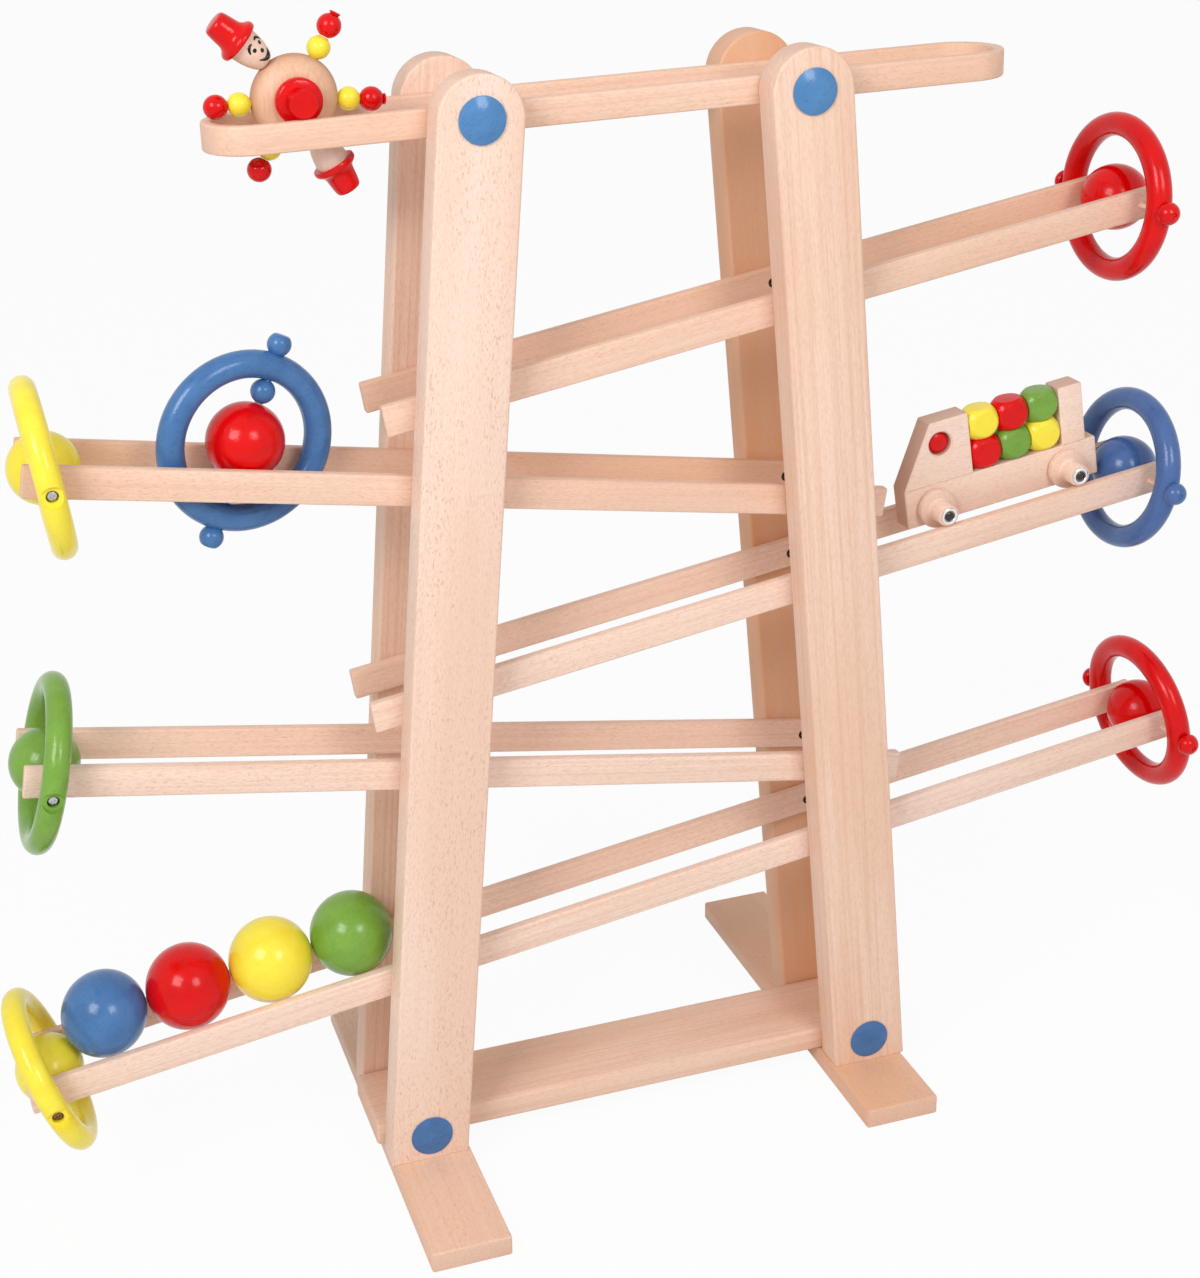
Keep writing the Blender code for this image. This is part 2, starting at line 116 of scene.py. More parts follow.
# Shader groups.
def new_group(name, inputs, outputs):
    """A shader group with named sockets, and the nodes at its two ends."""
    tree = bpy.data.node_groups.new(name, "ShaderNodeTree")
    for label, kind in inputs.items():
        tree.interface.new_socket(label, in_out="INPUT", socket_type="NodeSocket" + kind)
    for label, kind in outputs.items():
        tree.interface.new_socket(label, in_out="OUTPUT", socket_type="NodeSocket" + kind)
    return tree, tree.nodes.new("NodeGroupInput"), tree.nodes.new("NodeGroupOutput")


def put(node, values):
    """Gives plain values to a node's inputs."""
    for label, value in values.items():
        node.inputs[label].default_value = value


def stretched_noise(tree, place, stretch, detail=2.0):
    """Noise on a place in millimetres, drawn out along the grain."""
    scale = tree.nodes.new("ShaderNodeVectorMath")
    scale.operation = "MULTIPLY"
    scale.inputs[1].default_value = stretch
    tree.links.new(place, scale.inputs[0])
    noise = tree.nodes.new("ShaderNodeTexNoise")
    put(noise, {"Scale": 1.0, "Detail": detail})
    tree.links.new(scale.outputs[0], noise.inputs["Vector"])
    return noise.outputs["Fac"]


def between(tree, value, low, high, to_low=0.0, to_high=1.0):
    """Fades a value from one range to another."""
    fade = tree.nodes.new("ShaderNodeMapRange")
    fade.interpolation_type = "SMOOTHSTEP"
    put(fade, {"From Min": low, "From Max": high, "To Min": to_low, "To Max": to_high})
    tree.links.new(value, fade.inputs["Value"])
    return fade.outputs["Result"]


def blend_colours(tree, factor, first, second):
    """Mixes two colours, each a socket or a plain colour."""
    mix = tree.nodes.new("ShaderNodeMix")
    mix.data_type = "RGBA"
    tree.links.new(factor, mix.inputs["Factor"])
    for value, socket in ((first, mix.inputs[6]), (second, mix.inputs[7])):
        if isinstance(value, tuple):
            socket.default_value = value
        else:
            tree.links.new(value, socket)
    return mix.outputs[2]


def sums(tree, operation, first, second):
    """One step of arithmetic on sockets or plain numbers."""
    step = tree.nodes.new("ShaderNodeMath")
    step.operation = operation
    for value, socket in ((first, step.inputs[0]), (second, step.inputs[1])):
        if isinstance(value, (int, float)):
            socket.default_value = value
        else:
            tree.links.new(value, socket)
    return step.outputs[0]


# Beech along its grain, from pale to deep, and where its grain is cut across. A piece's tone draws it
# towards deep, which many pieces use as painted shade.
BEECH_PALE = srgb(246, 218, 202)
BEECH_WARM = srgb(225, 167, 124)
BEECH_STREAK = srgb(221, 176, 146)
BEECH_DASH = srgb(212, 166, 138)
BEECH_FLECK = srgb(200, 150, 122)
END_PALE = srgb(234, 198, 178)
END_PORE = srgb(212, 170, 146)
# The deepest cut-face colour: partly sawn wood, partly painted shade on the truck's roof and other
# tops.
END_SAWN_AND_SHADE = srgb(168, 122, 98)

# Shares and roughness of each effect on beech, on paint and on metal.
END_SHARE = 0.6
SANDED_ROUGHNESS = 0.46
FLECK_ROUGHNESS = 0.1
END_ROUGHNESS = 0.15
DASH_HEIGHT = -0.5
PAINT_FLECK_SHADE = 0.3
PAINT_ROUGHNESS = 0.17
PAINT_FLECK_ROUGHNESS = 0.08
PAINT_FLECK_DEPTH = 0.6
METAL_ROUGHNESS = 0.12
SCRATCH_ROUGHNESS = 0.15

# What the shader groups give out, and what the one for beech takes in.
SURFACE = {"Colour": "Color", "Roughness": "Float"}
DENTED_SURFACE = {**SURFACE, "Height": "Float"}
BEECH_INPUTS = {"Place": "Vector"}
BEECH_INPUTS |= dict.fromkeys(("End grain", "Sawn and shade", "Tone", "Streaks", "Flecks"), "Float")


def beech_group():
    """Beech: pale pinkish wood, straight streaks and short fine flecks along the grain."""
    tree, given, made = new_group("beech_grain", BEECH_INPUTS, DENTED_SURFACE)
    place = given.outputs["Place"]
    end = given.outputs["End grain"]
    cloud = stretched_noise(tree, place, stretch=(0.004, 0.03, 0.03), detail=3.0)
    streak = stretched_noise(tree, place, stretch=(0.006, 0.6, 0.6), detail=4.0)
    fleck = stretched_noise(tree, place, stretch=(0.42, 1.35, 1.35), detail=1.0)
    patch = stretched_noise(tree, place, stretch=(0.012, 0.06, 0.06), detail=2.0)
    dash = stretched_noise(tree, place, stretch=(0.32, 1.6, 1.6), detail=3.0)
    pores = stretched_noise(tree, place, stretch=(2.2, 2.2, 2.2), detail=3.0)
    patchy = between(tree, patch, low=0.35, high=0.60, to_low=0.25, to_high=1.0)
    fleck_mask = sums(tree, "MULTIPLY", between(tree, fleck, low=0.60, high=0.70), patchy)
    shown_flecks = sums(tree, "MULTIPLY", fleck_mask, given.outputs["Flecks"])
    streak_mask = between(tree, streak, low=0.42, high=0.68)
    shown_streaks = sums(tree, "MULTIPLY", streak_mask, given.outputs["Streaks"])
    shown_dashes = between(tree, dash, low=0.44, high=0.70, to_low=0.0, to_high=0.32)
    cloudy = between(tree, cloud, low=0.34, high=0.66, to_low=-0.10, to_high=0.14)
    # The tone, with random clouds over it; where a piece's tone is deep, this is painted shade.
    depth = sums(tree, "ADD", given.outputs["Tone"], cloudy)
    colour = blend_colours(tree, depth, BEECH_PALE, BEECH_WARM)
    colour = blend_colours(tree, shown_streaks, colour, BEECH_STREAK)
    colour = blend_colours(tree, shown_dashes, colour, BEECH_DASH)
    colour = blend_colours(tree, shown_flecks, colour, BEECH_FLECK)
    cut_end = blend_colours(tree, between(tree, pores, low=0.42, high=0.62), END_PALE, END_PORE)
    # Where a piece asks for it, its cut faces deepen: partly sawn wood, partly painted shade on tops.
    cut_end = blend_colours(tree, given.outputs["Sawn and shade"], cut_end, END_SAWN_AND_SHADE)
    colour = blend_colours(tree, sums(tree, "MULTIPLY", end, END_SHARE), colour, cut_end)
    tree.links.new(colour, made.inputs["Colour"])
    rough = sums(tree, "MULTIPLY", fleck_mask, FLECK_ROUGHNESS)
    rough = sums(tree, "ADD", rough, SANDED_ROUGHNESS)
    rough = sums(tree, "ADD", rough, sums(tree, "MULTIPLY", end, END_ROUGHNESS))
    tree.links.new(rough, made.inputs["Roughness"])
    dents = sums(tree, "SUBTRACT", sums(tree, "MULTIPLY", dash, DASH_HEIGHT), fleck_mask)
    tree.links.new(dents, made.inputs["Height"])
    return tree


def paint_group():
    """Gloss paint over wood: the grain and flecks still show faintly through it."""
    inputs = {"Place": "Vector", "Paint": "Color", "Shade": "Color"}
    tree, given, made = new_group("painted_wood", inputs, DENTED_SURFACE)
    place = given.outputs["Place"]
    cloud = stretched_noise(tree, place, stretch=(0.05, 0.09, 0.09), detail=3.0)
    fleck = stretched_noise(tree, place, stretch=(0.25, 1.3, 1.3), detail=2.0)
    orange_peel = stretched_noise(tree, place, stretch=(0.55, 0.55, 0.55), detail=1.0)
    fleck_mask = between(tree, fleck, low=0.52, high=0.70)
    cloudy = between(tree, cloud, low=0.3, high=0.7, to_low=0.0, to_high=0.4)
    depth = sums(tree, "ADD", cloudy, sums(tree, "MULTIPLY", fleck_mask, PAINT_FLECK_SHADE))
    colour = blend_colours(tree, depth, given.outputs["Paint"], given.outputs["Shade"])
    tree.links.new(colour, made.inputs["Colour"])
    rough = sums(tree, "MULTIPLY", fleck_mask, PAINT_FLECK_ROUGHNESS)
    tree.links.new(sums(tree, "ADD", rough, PAINT_ROUGHNESS), made.inputs["Roughness"])
    dents = sums(tree, "MULTIPLY", fleck_mask, PAINT_FLECK_DEPTH)
    tree.links.new(sums(tree, "SUBTRACT", orange_peel, dents), made.inputs["Height"])
    return tree


def metal_group():
    """Turned metal: fine scratches that change its roughness."""
    inputs = {"Place": "Vector", "Bright": "Color", "Dull": "Color"}
    tree, given, made = new_group("worked_metal", inputs, SURFACE)
    scratch = stretched_noise(tree, given.outputs["Place"], stretch=(0.4, 6.0, 6.0), detail=3.0)
    mask = between(tree, scratch, low=0.4, high=0.7)
    colour = blend_colours(tree, mask, given.outputs["Bright"], given.outputs["Dull"])
    tree.links.new(colour, made.inputs["Colour"])
    rough = sums(tree, "MULTIPLY", mask, SCRATCH_ROUGHNESS)
    tree.links.new(sums(tree, "ADD", rough, METAL_ROUGHNESS), made.inputs["Roughness"])
    return tree


BEECH_GRAIN = beech_group()
PAINTED_WOOD = paint_group()
WORKED_METAL = metal_group()


BUMP_STRENGTH = 0.25
BUMP_DEPTH = 0.12 * MM


def new_material(name, group, turn, shift=(0, 0, 0)):
    """A material with one shader group on millimetre places, the grain turned to X."""
    made = bpy.data.materials.new(name)
    made.use_nodes = True
    nodes = made.node_tree.nodes
    links = made.node_tree.links
    where = nodes.new("ShaderNodeTexCoord")
    mapping = nodes.new("ShaderNodeMapping")
    put(mapping, {"Scale": (1 / MM, 1 / MM, 1 / MM), "Rotation": turn, "Location": shift})
    links.new(where.outputs["Object"], mapping.inputs["Vector"])
    effect = nodes.new("ShaderNodeGroup")
    effect.node_tree = group
    links.new(mapping.outputs["Vector"], effect.inputs["Place"])
    shader = nodes["Principled BSDF"]
    links.new(effect.outputs["Colour"], shader.inputs["Base Color"])
    links.new(effect.outputs["Roughness"], shader.inputs["Roughness"])
    if "Height" in effect.outputs:
        bump = nodes.new("ShaderNodeBump")
        put(bump, {"Strength": BUMP_STRENGTH, "Distance": BUMP_DEPTH})
        links.new(effect.outputs["Height"], bump.inputs["Height"])
        links.new(bump.outputs["Normal"], shader.inputs["Normal"])
    return made, effect, shader


def beech(name, turn, grain, shift=(0, 0, 0), tone=0.25, streaks=0.3, flecks=0.5, sawn=0.0):
    """Sanded beech, duller where its grain is cut across.

    A board with sawn edges gives the direction its face looks in place of its grain, and its other
    faces deepen: partly sawn wood, partly painted shade on its tops.
    """
    made, effect, shader = new_material(name, BEECH_GRAIN, turn, shift)
    put(effect, {"Tone": tone, "Streaks": streaks, "Flecks": flecks, "Sawn and shade": sawn})
    nodes = made.node_tree.nodes
    links = made.node_tree.links
    where = nodes.new("ShaderNodeTexCoord")
    facing = nodes.new("ShaderNodeVectorMath")
    facing.operation = "DOT_PRODUCT"
    facing.inputs[1].default_value = grain
    links.new(where.outputs["Normal"], facing.inputs[0])
    size = sums(made.node_tree, "ABSOLUTE", facing.outputs["Value"], 0.0)
    if sawn:
        across = between(made.node_tree, size, low=0.3, high=0.9, to_low=1.0, to_high=0.0)
    else:
        across = between(made.node_tree, size, low=0.72, high=0.95)
    links.new(across, effect.inputs["End grain"])
    put(shader, {"Specular IOR Level": 0.35})
    return made


def beech_along(name, rise, shift=(0, 0, 0), tone=0.25, streaks=0.3, flecks=0.5):
    """Beech with its grain in the plane of the ramps, at an angle above X."""
    grain = (math.cos(rise), 0, math.sin(rise))
    return beech(name, (0, rise, 0), grain, shift, tone, streaks, flecks)


def beech_across(name, shift=(0, 0, 0), tone=0.25, streaks=0.3, flecks=0.5):
    """Beech with its grain from front to back."""
    return beech(name, (0, 0, -math.pi / 2), (0, 1, 0), shift, tone, streaks, flecks)


def painted(name, paint, shade, gloss=0.30):
    """Gloss paint in one colour, deeper where it lies in the grain."""
    made, effect, shader = new_material(name, PAINTED_WOOD, turn=(0.3, 0.5, 0.2))
    put(effect, {"Paint": srgb(*paint), "Shade": srgb(*shade)})
    put(shader, {"Specular IOR Level": gloss, "Coat Weight": 0.05, "Coat Roughness": 0.12})
    return made


def metal(name, bright, dull):
    """Bare metal between two tones."""
    made, effect, shader = new_material(name, WORKED_METAL, turn=(0.2, 0.1, 0.7))
    put(effect, {"Bright": srgb(*bright), "Dull": srgb(*dull)})
    put(shader, {"Metallic": 1.0})
    return made


# Each paint, and the record's slot for it. There is none for black, so the faces share the hats'.
PAINTS = {
    "red": (painted("gloss_red", (224, 2, 4), (190, 0, 2), 0.22), "red_paint"),
    "blue": (painted("gloss_blue", (74, 120, 174), (48, 90, 146)), "blue_paint"),
    "bright_blue": (painted("gloss_bright_blue", (82, 136, 188), (60, 110, 164)), "blue_paint"),
    "deep_blue": (painted("gloss_deep_blue", (76, 108, 164), (54, 84, 142)), "blue_paint"),
    "yellow": (painted("gloss_yellow", (250, 232, 70), (240, 212, 44)), "yellow_paint"),
    "green": (painted("gloss_green", (124, 168, 66), (94, 142, 42)), "green_paint"),
    "black": (painted("gloss_black", (24, 22, 24), (12, 12, 14)), "red_paint"),
}
STEEL = metal("screw_steel", (205, 205, 208), (150, 150, 154))
DARK_STEEL = metal("dark_screw_steel", (84, 74, 68), (52, 46, 44))
BRASS = metal("dulled_brass", (150, 112, 72), (92, 66, 44))
CHROME = metal("polished_cap", (238, 238, 240), (214, 214, 218))


# Modelling by hand.
def add(primitive, **settings):
    """Adds one primitive, with nothing else selected."""
    bpy.ops.object.select_all(action="DESELECT")
    primitive(**settings)
    return bpy.context.object


def only(piece):
    """Makes a piece the only one that the next operator works on."""
    bpy.ops.object.select_all(action="DESELECT")
    piece.select_set(True)
    bpy.context.view_layer.objects.active = piece


def apply_modifier(piece, kind, **settings):
    """Puts one modifier on a piece and makes it part of the mesh."""
    only(piece)
    step = piece.modifiers.new(kind.lower(), kind)
    for key, value in settings.items():
        setattr(step, key, value)
    bpy.ops.object.modifier_apply(modifier=step.name)


def ease(piece, width, segments=3, angle=30):
    """Rounds every edge that is sharper than an angle."""
    apply_modifier(
        piece,
        "BEVEL",
        width=width,
        segments=segments,
        limit_method="ANGLE",
        angle_limit=math.radians(angle),
        miter_outer="MITER_ARC",
    )


# Two places count as apart where they differ by more than this.
APART = 0.5 * MM
# A face looks up where the Z of its normal is above this.
LOOKS_UP = 0.9


def pick_all():
    """In edit mode, selects everything."""
    bpy.ops.mesh.select_all(action="SELECT")


def pick(piece, kind, test):
    """In edit mode, selects only the corners, edges or faces that pass a test."""
    bpy.ops.mesh.select_mode(type=kind)
    bpy.ops.mesh.select_all(action="DESELECT")
    shape = bmesh.from_edit_mesh(piece.data)
    parts = {"VERT": shape.verts, "EDGE": shape.edges, "FACE": shape.faces}[kind]
    for part in parts:
        if test(part):
            part.select_set(True)
    shape.select_flush_mode()
    bmesh.update_edit_mesh(piece.data)


# Corners closer than this are joined.
SAME_CORNER = 0.002 * MM


def tidy_mesh():
    """Joins doubled corners, turns the faces outwards and leaves edit mode."""
    pick_all()
    bpy.ops.mesh.remove_doubles(threshold=SAME_CORNER)
    bpy.ops.mesh.normals_make_consistent(inside=False)
    bpy.ops.object.mode_set(mode="OBJECT")


def turned(rings, segments=48):
    """A solid turned about Z: a disc drawn up and scaled, ring by ring, in millimetres."""
    radius, height = rings[0]
    piece = add(
        bpy.ops.mesh.primitive_circle_add,
        vertices=segments,
        radius=radius * MM,
        fill_type="NGON",
        location=(0, 0, height * MM),
    )
    bpy.ops.object.transform_apply(location=True)
    bpy.ops.object.mode_set(mode="EDIT")
    bpy.ops.mesh.select_mode(type="FACE")
    pick_all()
    for wide, high in rings[1:]:
        bpy.ops.mesh.extrude_region_move(
            TRANSFORM_OT_translate={"value": (0, 0, (high - height) * MM)}
        )
        bpy.ops.transform.resize(
            value=(wide / radius, wide / radius, 1), center_override=(0, 0, high * MM)
        )
        radius, height = wide, high
    tidy_mesh()
    return piece


# The narrowest ring of a round end, in millimetres, so that it doesn't close to a point.
NARROWEST = 0.02


def round_rings(centre, radius, first, last, count):
    """Rings of a ball from one polar angle to another, counted from its bottom."""
    made = []
    for step in range(count + 1):
        angle = math.radians(first + (last - first) * step / count)
        made.append((max(radius * math.sin(angle), NARROWEST), centre - radius * math.cos(angle)))
    return made


def mirrored(half):
    """A profile, with its mirror image below it."""
    return [(wide, -high) for wide, high in reversed(half)] + half


def ball(radius, flat, segments=64, count=30):
    """A turned ball with the small flats the lathe leaves at its ends."""
    edge = math.degrees(math.asin(flat / radius))
    return turned(round_rings(0.0, radius, edge, 180 - edge, count), segments)


def block(size, centre=(0, 0, 0), turn=0.0):
    """A plain block, turned about Z."""
    piece = add(bpy.ops.mesh.primitive_cube_add, size=1.0)
    piece.scale = size
    piece.rotation_euler.z = turn
    piece.location = centre
    bpy.ops.object.transform_apply(location=True, rotation=True, scale=True)
    return piece


def board(size, edge):
    """A sawn and planed board about the origin, with eased edges."""
    piece = block(size)
    ease(piece, edge)
    return piece


def cut(piece, tool):
    """Takes one shape out of another."""
    apply_modifier(piece, "BOOLEAN", object=tool, operation="DIFFERENCE", solver="EXACT")
    bpy.data.objects.remove(tool, do_unlink=True)


def place(piece, centre, direction=(0, 0, 1), spin=0.0):
    """Stands a piece with its Z axis along a direction, and leaves its object at the origin."""
    turn = Vector((0, 0, 1)).rotation_difference(Vector(direction)).to_matrix().to_4x4()
    piece.data.transform(Matrix.Translation(centre) @ turn @ Matrix.Rotation(spin, 4, "Z"))
    return piece


def slant(piece, centre, rise):
    """Lays a piece along a ramp: turned in the plane of the ramps, then moved."""
    piece.data.transform(Matrix.Translation(centre) @ Matrix.Rotation(-rise, 4, "Y"))
    return piece


def copy_of(pattern):
    """Another piece like one that is modelled already, with a mesh of its own."""
    piece = pattern.copy()
    piece.data = pattern.data.copy()
    bpy.context.scene.collection.objects.link(piece)
    return piece


def discard(*patterns):
    """Takes away pieces that were only there to be copied."""
    for pattern in patterns:
        bpy.data.objects.remove(pattern, do_unlink=True)


# Edges sharper than this stay sharp to the eye.
SMOOTH_ANGLE = math.radians(35)


def done(piece, name, body, material, nodes=()):
    """Names a finished piece, gives it its material and hangs it on its body."""
    piece.name = name
    piece.data.name = name
    piece.data.materials.clear()
    piece.data.materials.append(material)
    only(piece)
    bpy.ops.object.shade_smooth_by_angle(angle=SMOOTH_ANGLE)
    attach(piece, body)
    if nodes:
        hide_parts(*nodes)


def painted_piece(piece, name, body, colour, nodes=()):
    """Finishes a piece in one of the paints."""
    paint, slot = PAINTS[colour]
    done(piece, name, body, paint, nodes)


# Frame.
FOOT_EDGE = 1.4 * MM
# Each foot's tone is painted shade on its top under the ramps, deeper on the right foot.
FOOT_TONES = {"left": 0.45, "right": 0.65}
PLANK_EDGE = 2.2 * MM


def make_feet_and_plank():
    """Two foot boards that lie front to back, and the plank over them."""
    pattern = board(reach("foot_left"), FOOT_EDGE)
    for side, tone in FOOT_TONES.items():
        node = "foot_" + side
        grain = beech_across("beech_" + node, shift=(40, 7, 3), tone=tone, streaks=0.25, flecks=0.45)
        piece = place(copy_of(pattern), middle(node))
        done(piece, "board_" + node, "frame", grain, [node])
    discard(pattern)
    # The plank's deep tone is painted shade under the ramps.
    grain = beech_along("beech_plank", 0.0, shift=(11, 60, 24), tone=0.42, streaks=0.5, flecks=0.25)
    piece = place(board(reach("base_plank"), PLANK_EDGE), PLANK)
    done(piece, "board_base_plank", "frame", grain, ["base_plank"])


# A post starts as a blank that is longer than the post, and is cut off just over the foot.
POST_BLANK = 640 * MM
POST_EDGE = 3.6 * MM
FOOT_GAP = 0.2 * MM
# The top's rounding stops a hair short of half the width, so that its two sides don't cross.
HAIR = 0.02 * MM


def round_topped_post():
    """A long board about its axis, full round at the top, with the round's centre at the origin."""

    def top_corner(edge):
        """An edge at the top that runs from front to back."""
        first, second = edge.verts
        return min(first.co.z, second.co.z) > 0 and abs(first.co.y - second.co.y) > APART

    centre = (0, 0, POST_WIDTH / 2 - POST_BLANK / 2)
    piece = block((POST_WIDTH, POST_THICKNESS, POST_BLANK), centre)
    bpy.ops.object.mode_set(mode="EDIT")
    pick(piece, "EDGE", top_corner)
    bpy.ops.mesh.bevel(offset=POST_WIDTH / 2 - HAIR, segments=28, affect="EDGES")
    tidy_mesh()
    ease(piece, POST_EDGE, segments=4)
    return piece


# Tone, streaks and flecks of each post's board. The tone is painted shade: deeper on the right posts
# and the rear ones, deepest on the rear right post in the front post's shadow.
POST_GRAIN_AND_SHADE = {
    "post_front_left": (0.16, 0.12, 0.46),
    "post_front_right": (0.31, 0.46, 0.10),
    "post_rear_left": (0.30, 0.50, 0.20),
    "post_rear_right": (0.88, 0.60, 0.15),
}


def make_posts():
    """Four posts that lean inwards, cut level over the feet."""
    pattern = round_topped_post()
    for side, word in SIDES:
        rise = math.pi / 2 + side * POST_LEAN
        x = MID_X + side * post_axis(POST_TOP_Z)
        for face, row in ROWS:
            node = f"post_{row}_{word}"
            shift = (face * 37, side * 53, face * 21)
            # The post's tone carries its painted shade.
            grain = beech_along("beech_" + node, rise, shift, *POST_GRAIN_AND_SHADE[node])
            centre = (x, MID_Y + face * POST_Y, POST_TOP_Z)
            piece = slant(copy_of(pattern), centre, side * POST_LEAN)
            only(piece)
            bpy.ops.object.mode_set(mode="EDIT")
            pick_all()
            bpy.ops.mesh.bisect(
                plane_co=(0, 0, FOOT_TOP + FOOT_GAP),
                plane_no=(0, 0, 1),
                clear_inner=True,
                use_fill=True,
            )
            tidy_mesh()
            done(piece, "board_" + node, "frame", grain, [node])
    discard(pattern)


TRACK_EDGE = 1.2 * MM


def make_track():
    """A closed loop: a disc pulled apart into a long shape, hollowed and given its thickness."""
    low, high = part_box("top_track")
    wide = high[1] - low[1]
    length = (high[0] - low[0] - TRACK_THICKNESS * math.sin(TRACK_RISE)) / math.cos(TRACK_RISE)
    piece = add(bpy.ops.mesh.primitive_circle_add, vertices=128, radius=wide / 2, fill_type="NGON")
    bpy.ops.object.mode_set(mode="EDIT")
    for way in (-1, 1):
        pick(piece, "VERT", lambda corner: corner.co.x * way > APART)
        bpy.ops.transform.translate(value=(way * (length - wide) / 2, 0, 0))
    bpy.ops.mesh.select_mode(type="FACE")
    pick_all()
    bpy.ops.mesh.inset(thickness=RAIL_OUTER - RAIL_INNER)
    bpy.ops.mesh.delete(type="FACE")
    pick_all()
    bpy.ops.mesh.extrude_region_move(TRANSFORM_OT_translate={"value": (0, 0, TRACK_THICKNESS)})
    pick_all()
    bpy.ops.transform.translate(value=(0, 0, -TRACK_THICKNESS / 2))
    tidy_mesh()
    ease(piece, TRACK_EDGE, angle=40)
    slant(piece, middle("top_track"), TRACK_RISE)
    grain = beech_along("beech_track", TRACK_RISE, (3, 14, 90), tone=0.4, streaks=0.35, flecks=0.3)
    done(piece, "loop_top_track", "frame", grain, ["top_track"])


# Each level of buttons: its height on the posts, how many millimetres it stands out, and its paint.
BUTTONS = {"top": (POST_TOP_Z, 3.5, "bright_blue"), "low": (26 * MM, 1.5, "blue")}
BUTTON_RADIUS = 11.5
# The share of a button's height that is its rim.
BUTTON_RIM = 0.26
BUTTON_GAP = 0.1 * MM
DOME_ANGLES = (0.14, 0.28, 0.42, 0.58, 0.74, 0.9, 1.06, 1.22, 1.36, 1.48, 1.55)


def button_rings(high):
    """A button's short rim, and the low dome over it."""
    edge = BUTTON_RIM * high
    rings = [(10.8, 0.0), (11.3, 0.1), (BUTTON_RADIUS, 0.3), (BUTTON_RADIUS, edge)]
    for angle in DOME_ANGLES:
        across = math.cos(angle)
        rings.append((BUTTON_RADIUS * across, edge + (high - edge) * (1 - across**2)))
    return rings


def make_buttons():
    """Painted caps on the faces of the posts. The rear ones have no solids of their own."""
    patterns = {}
    for level, (_, high, _) in BUTTONS.items():
        patterns[level] = turned(button_rings(high), segments=64)
    for side, word in SIDES:
        for level, (z, _, paint) in BUTTONS.items():
            for face, row in ROWS:
                x = MID_X + side * post_axis(z)
                y = MID_Y + face * (POST_Y + POST_THICKNESS / 2 + BUTTON_GAP)
                piece = place(copy_of(patterns[level]), (x, y, z), (0, face, 0))
                nodes = [f"button_{level}_{word}"] if face < 0 else []
                painted_piece(piece, f"cap_{level}_{word}_{row}", "frame", paint, nodes)
    discard(*patterns.values())


# Ramps.
# Each ramp's tone: painted shade, deeper on the upper ramps.
RAIL_TONE = {"ramp_1": 0.40, "ramp_2": 0.35, "ramp_3": 0.15, "ramp_4": 0.12, "ramp_5": 0.08}
# How much deeper in tone each row of rails is, as painted shade on the rear row, and how far across
# the wood its grain is taken.
RAIL_ROWS = {"front": (0.0, 17), "rear": (0.2, -23)}
RAIL_EDGE = 1.0 * MM


def make_rails():
    """Two strips of one length for each ramp."""
    for number, (ramp, slope) in enumerate(SLOPES.items()):
        rise = math.radians(slope)
        across_toy = reach(ramp + "_front_rail").x
        length = (across_toy - RAIL_HEIGHT * math.sin(abs(rise))) / math.cos(rise)
        pattern = board((length, RAIL_OUTER - RAIL_INNER, RAIL_HEIGHT), RAIL_EDGE)
        for row, (deeper, across) in RAIL_ROWS.items():
            node = f"{ramp}_{row}_rail"
            shift = (number * 71, across, number * 29)
            # The tone adds the ramp's and the row's painted shade.
            tone = RAIL_TONE[ramp] + deeper
            grain = beech_along("beech_" + node, rise, shift, tone, streaks=0.35, flecks=0.35)
            piece = slant(copy_of(pattern), middle(node), rise)
            done(piece, "strip_" + node, "frame", grain, [node])
        discard(pattern)


def rail_height(ramp, x):
    """Height of the middle of a ramp's rails at a place along the toy."""
    centre = middle(ramp + "_front_rail")
    return centre.z + (x - centre.x) * math.tan(math.radians(SLOPES[ramp]))


# How far a screw's cross is turned, in radians.
CROSS_TURN = 0.4


def screw(radius, high):
    """A countersunk screw head with a cross recess, its face at the origin, pointing up."""
    rings = [
        (radius * 0.75, -0.8),
        (radius * 0.96, -0.1),
        (radius, 0.1),
        (radius * 0.9, high * 0.55),
        (radius * 0.55, high * 0.92),
        (radius * 0.1, high),
    ]
    piece = turned(rings, segments=32)
    for turn in (CROSS_TURN, CROSS_TURN + math.pi / 2):
        cut(piece, block(mm(radius * 1.2, radius * 0.26, 1.0), mm(0, 0, high - 0.1), turn))
    return piece


# Radius and height of a rail screw's head in millimetres, and its place beside the post's axis.
RAIL_SCREW = (2.7, 0.5)
RAIL_SCREW_INSET = 1.4 * MM
RAIL_SCREW_LIFT = 0.05 * MM
FIRST_GUESS = 100 * MM


def make_rail_screws():
    """Dark screw heads on the inner faces of the rails, one where each post crosses them."""
    pattern = screw(*RAIL_SCREW)
    for ramp in SLOPES:
        for side, word in SIDES:
            # The rails slope and the posts lean, so a few rounds find where they cross.
            x = side * FIRST_GUESS
            for _ in range(4):
                z = rail_height(ramp, MID_X + x)
                x = side * (post_axis(z) - RAIL_SCREW_INSET)
            for face, row in ROWS:
                y = MID_Y + face * (RAIL_INNER - RAIL_SCREW_LIFT)
                piece = place(copy_of(pattern), (MID_X + x, y, z), (0, -face, 0))
                done(piece, f"screw_{ramp}_{row}_{word}", "frame", DARK_STEEL)
    discard(pattern)


SANDED_DEPTH = 0.4 * MM
SANDED_WIDER = 1.004


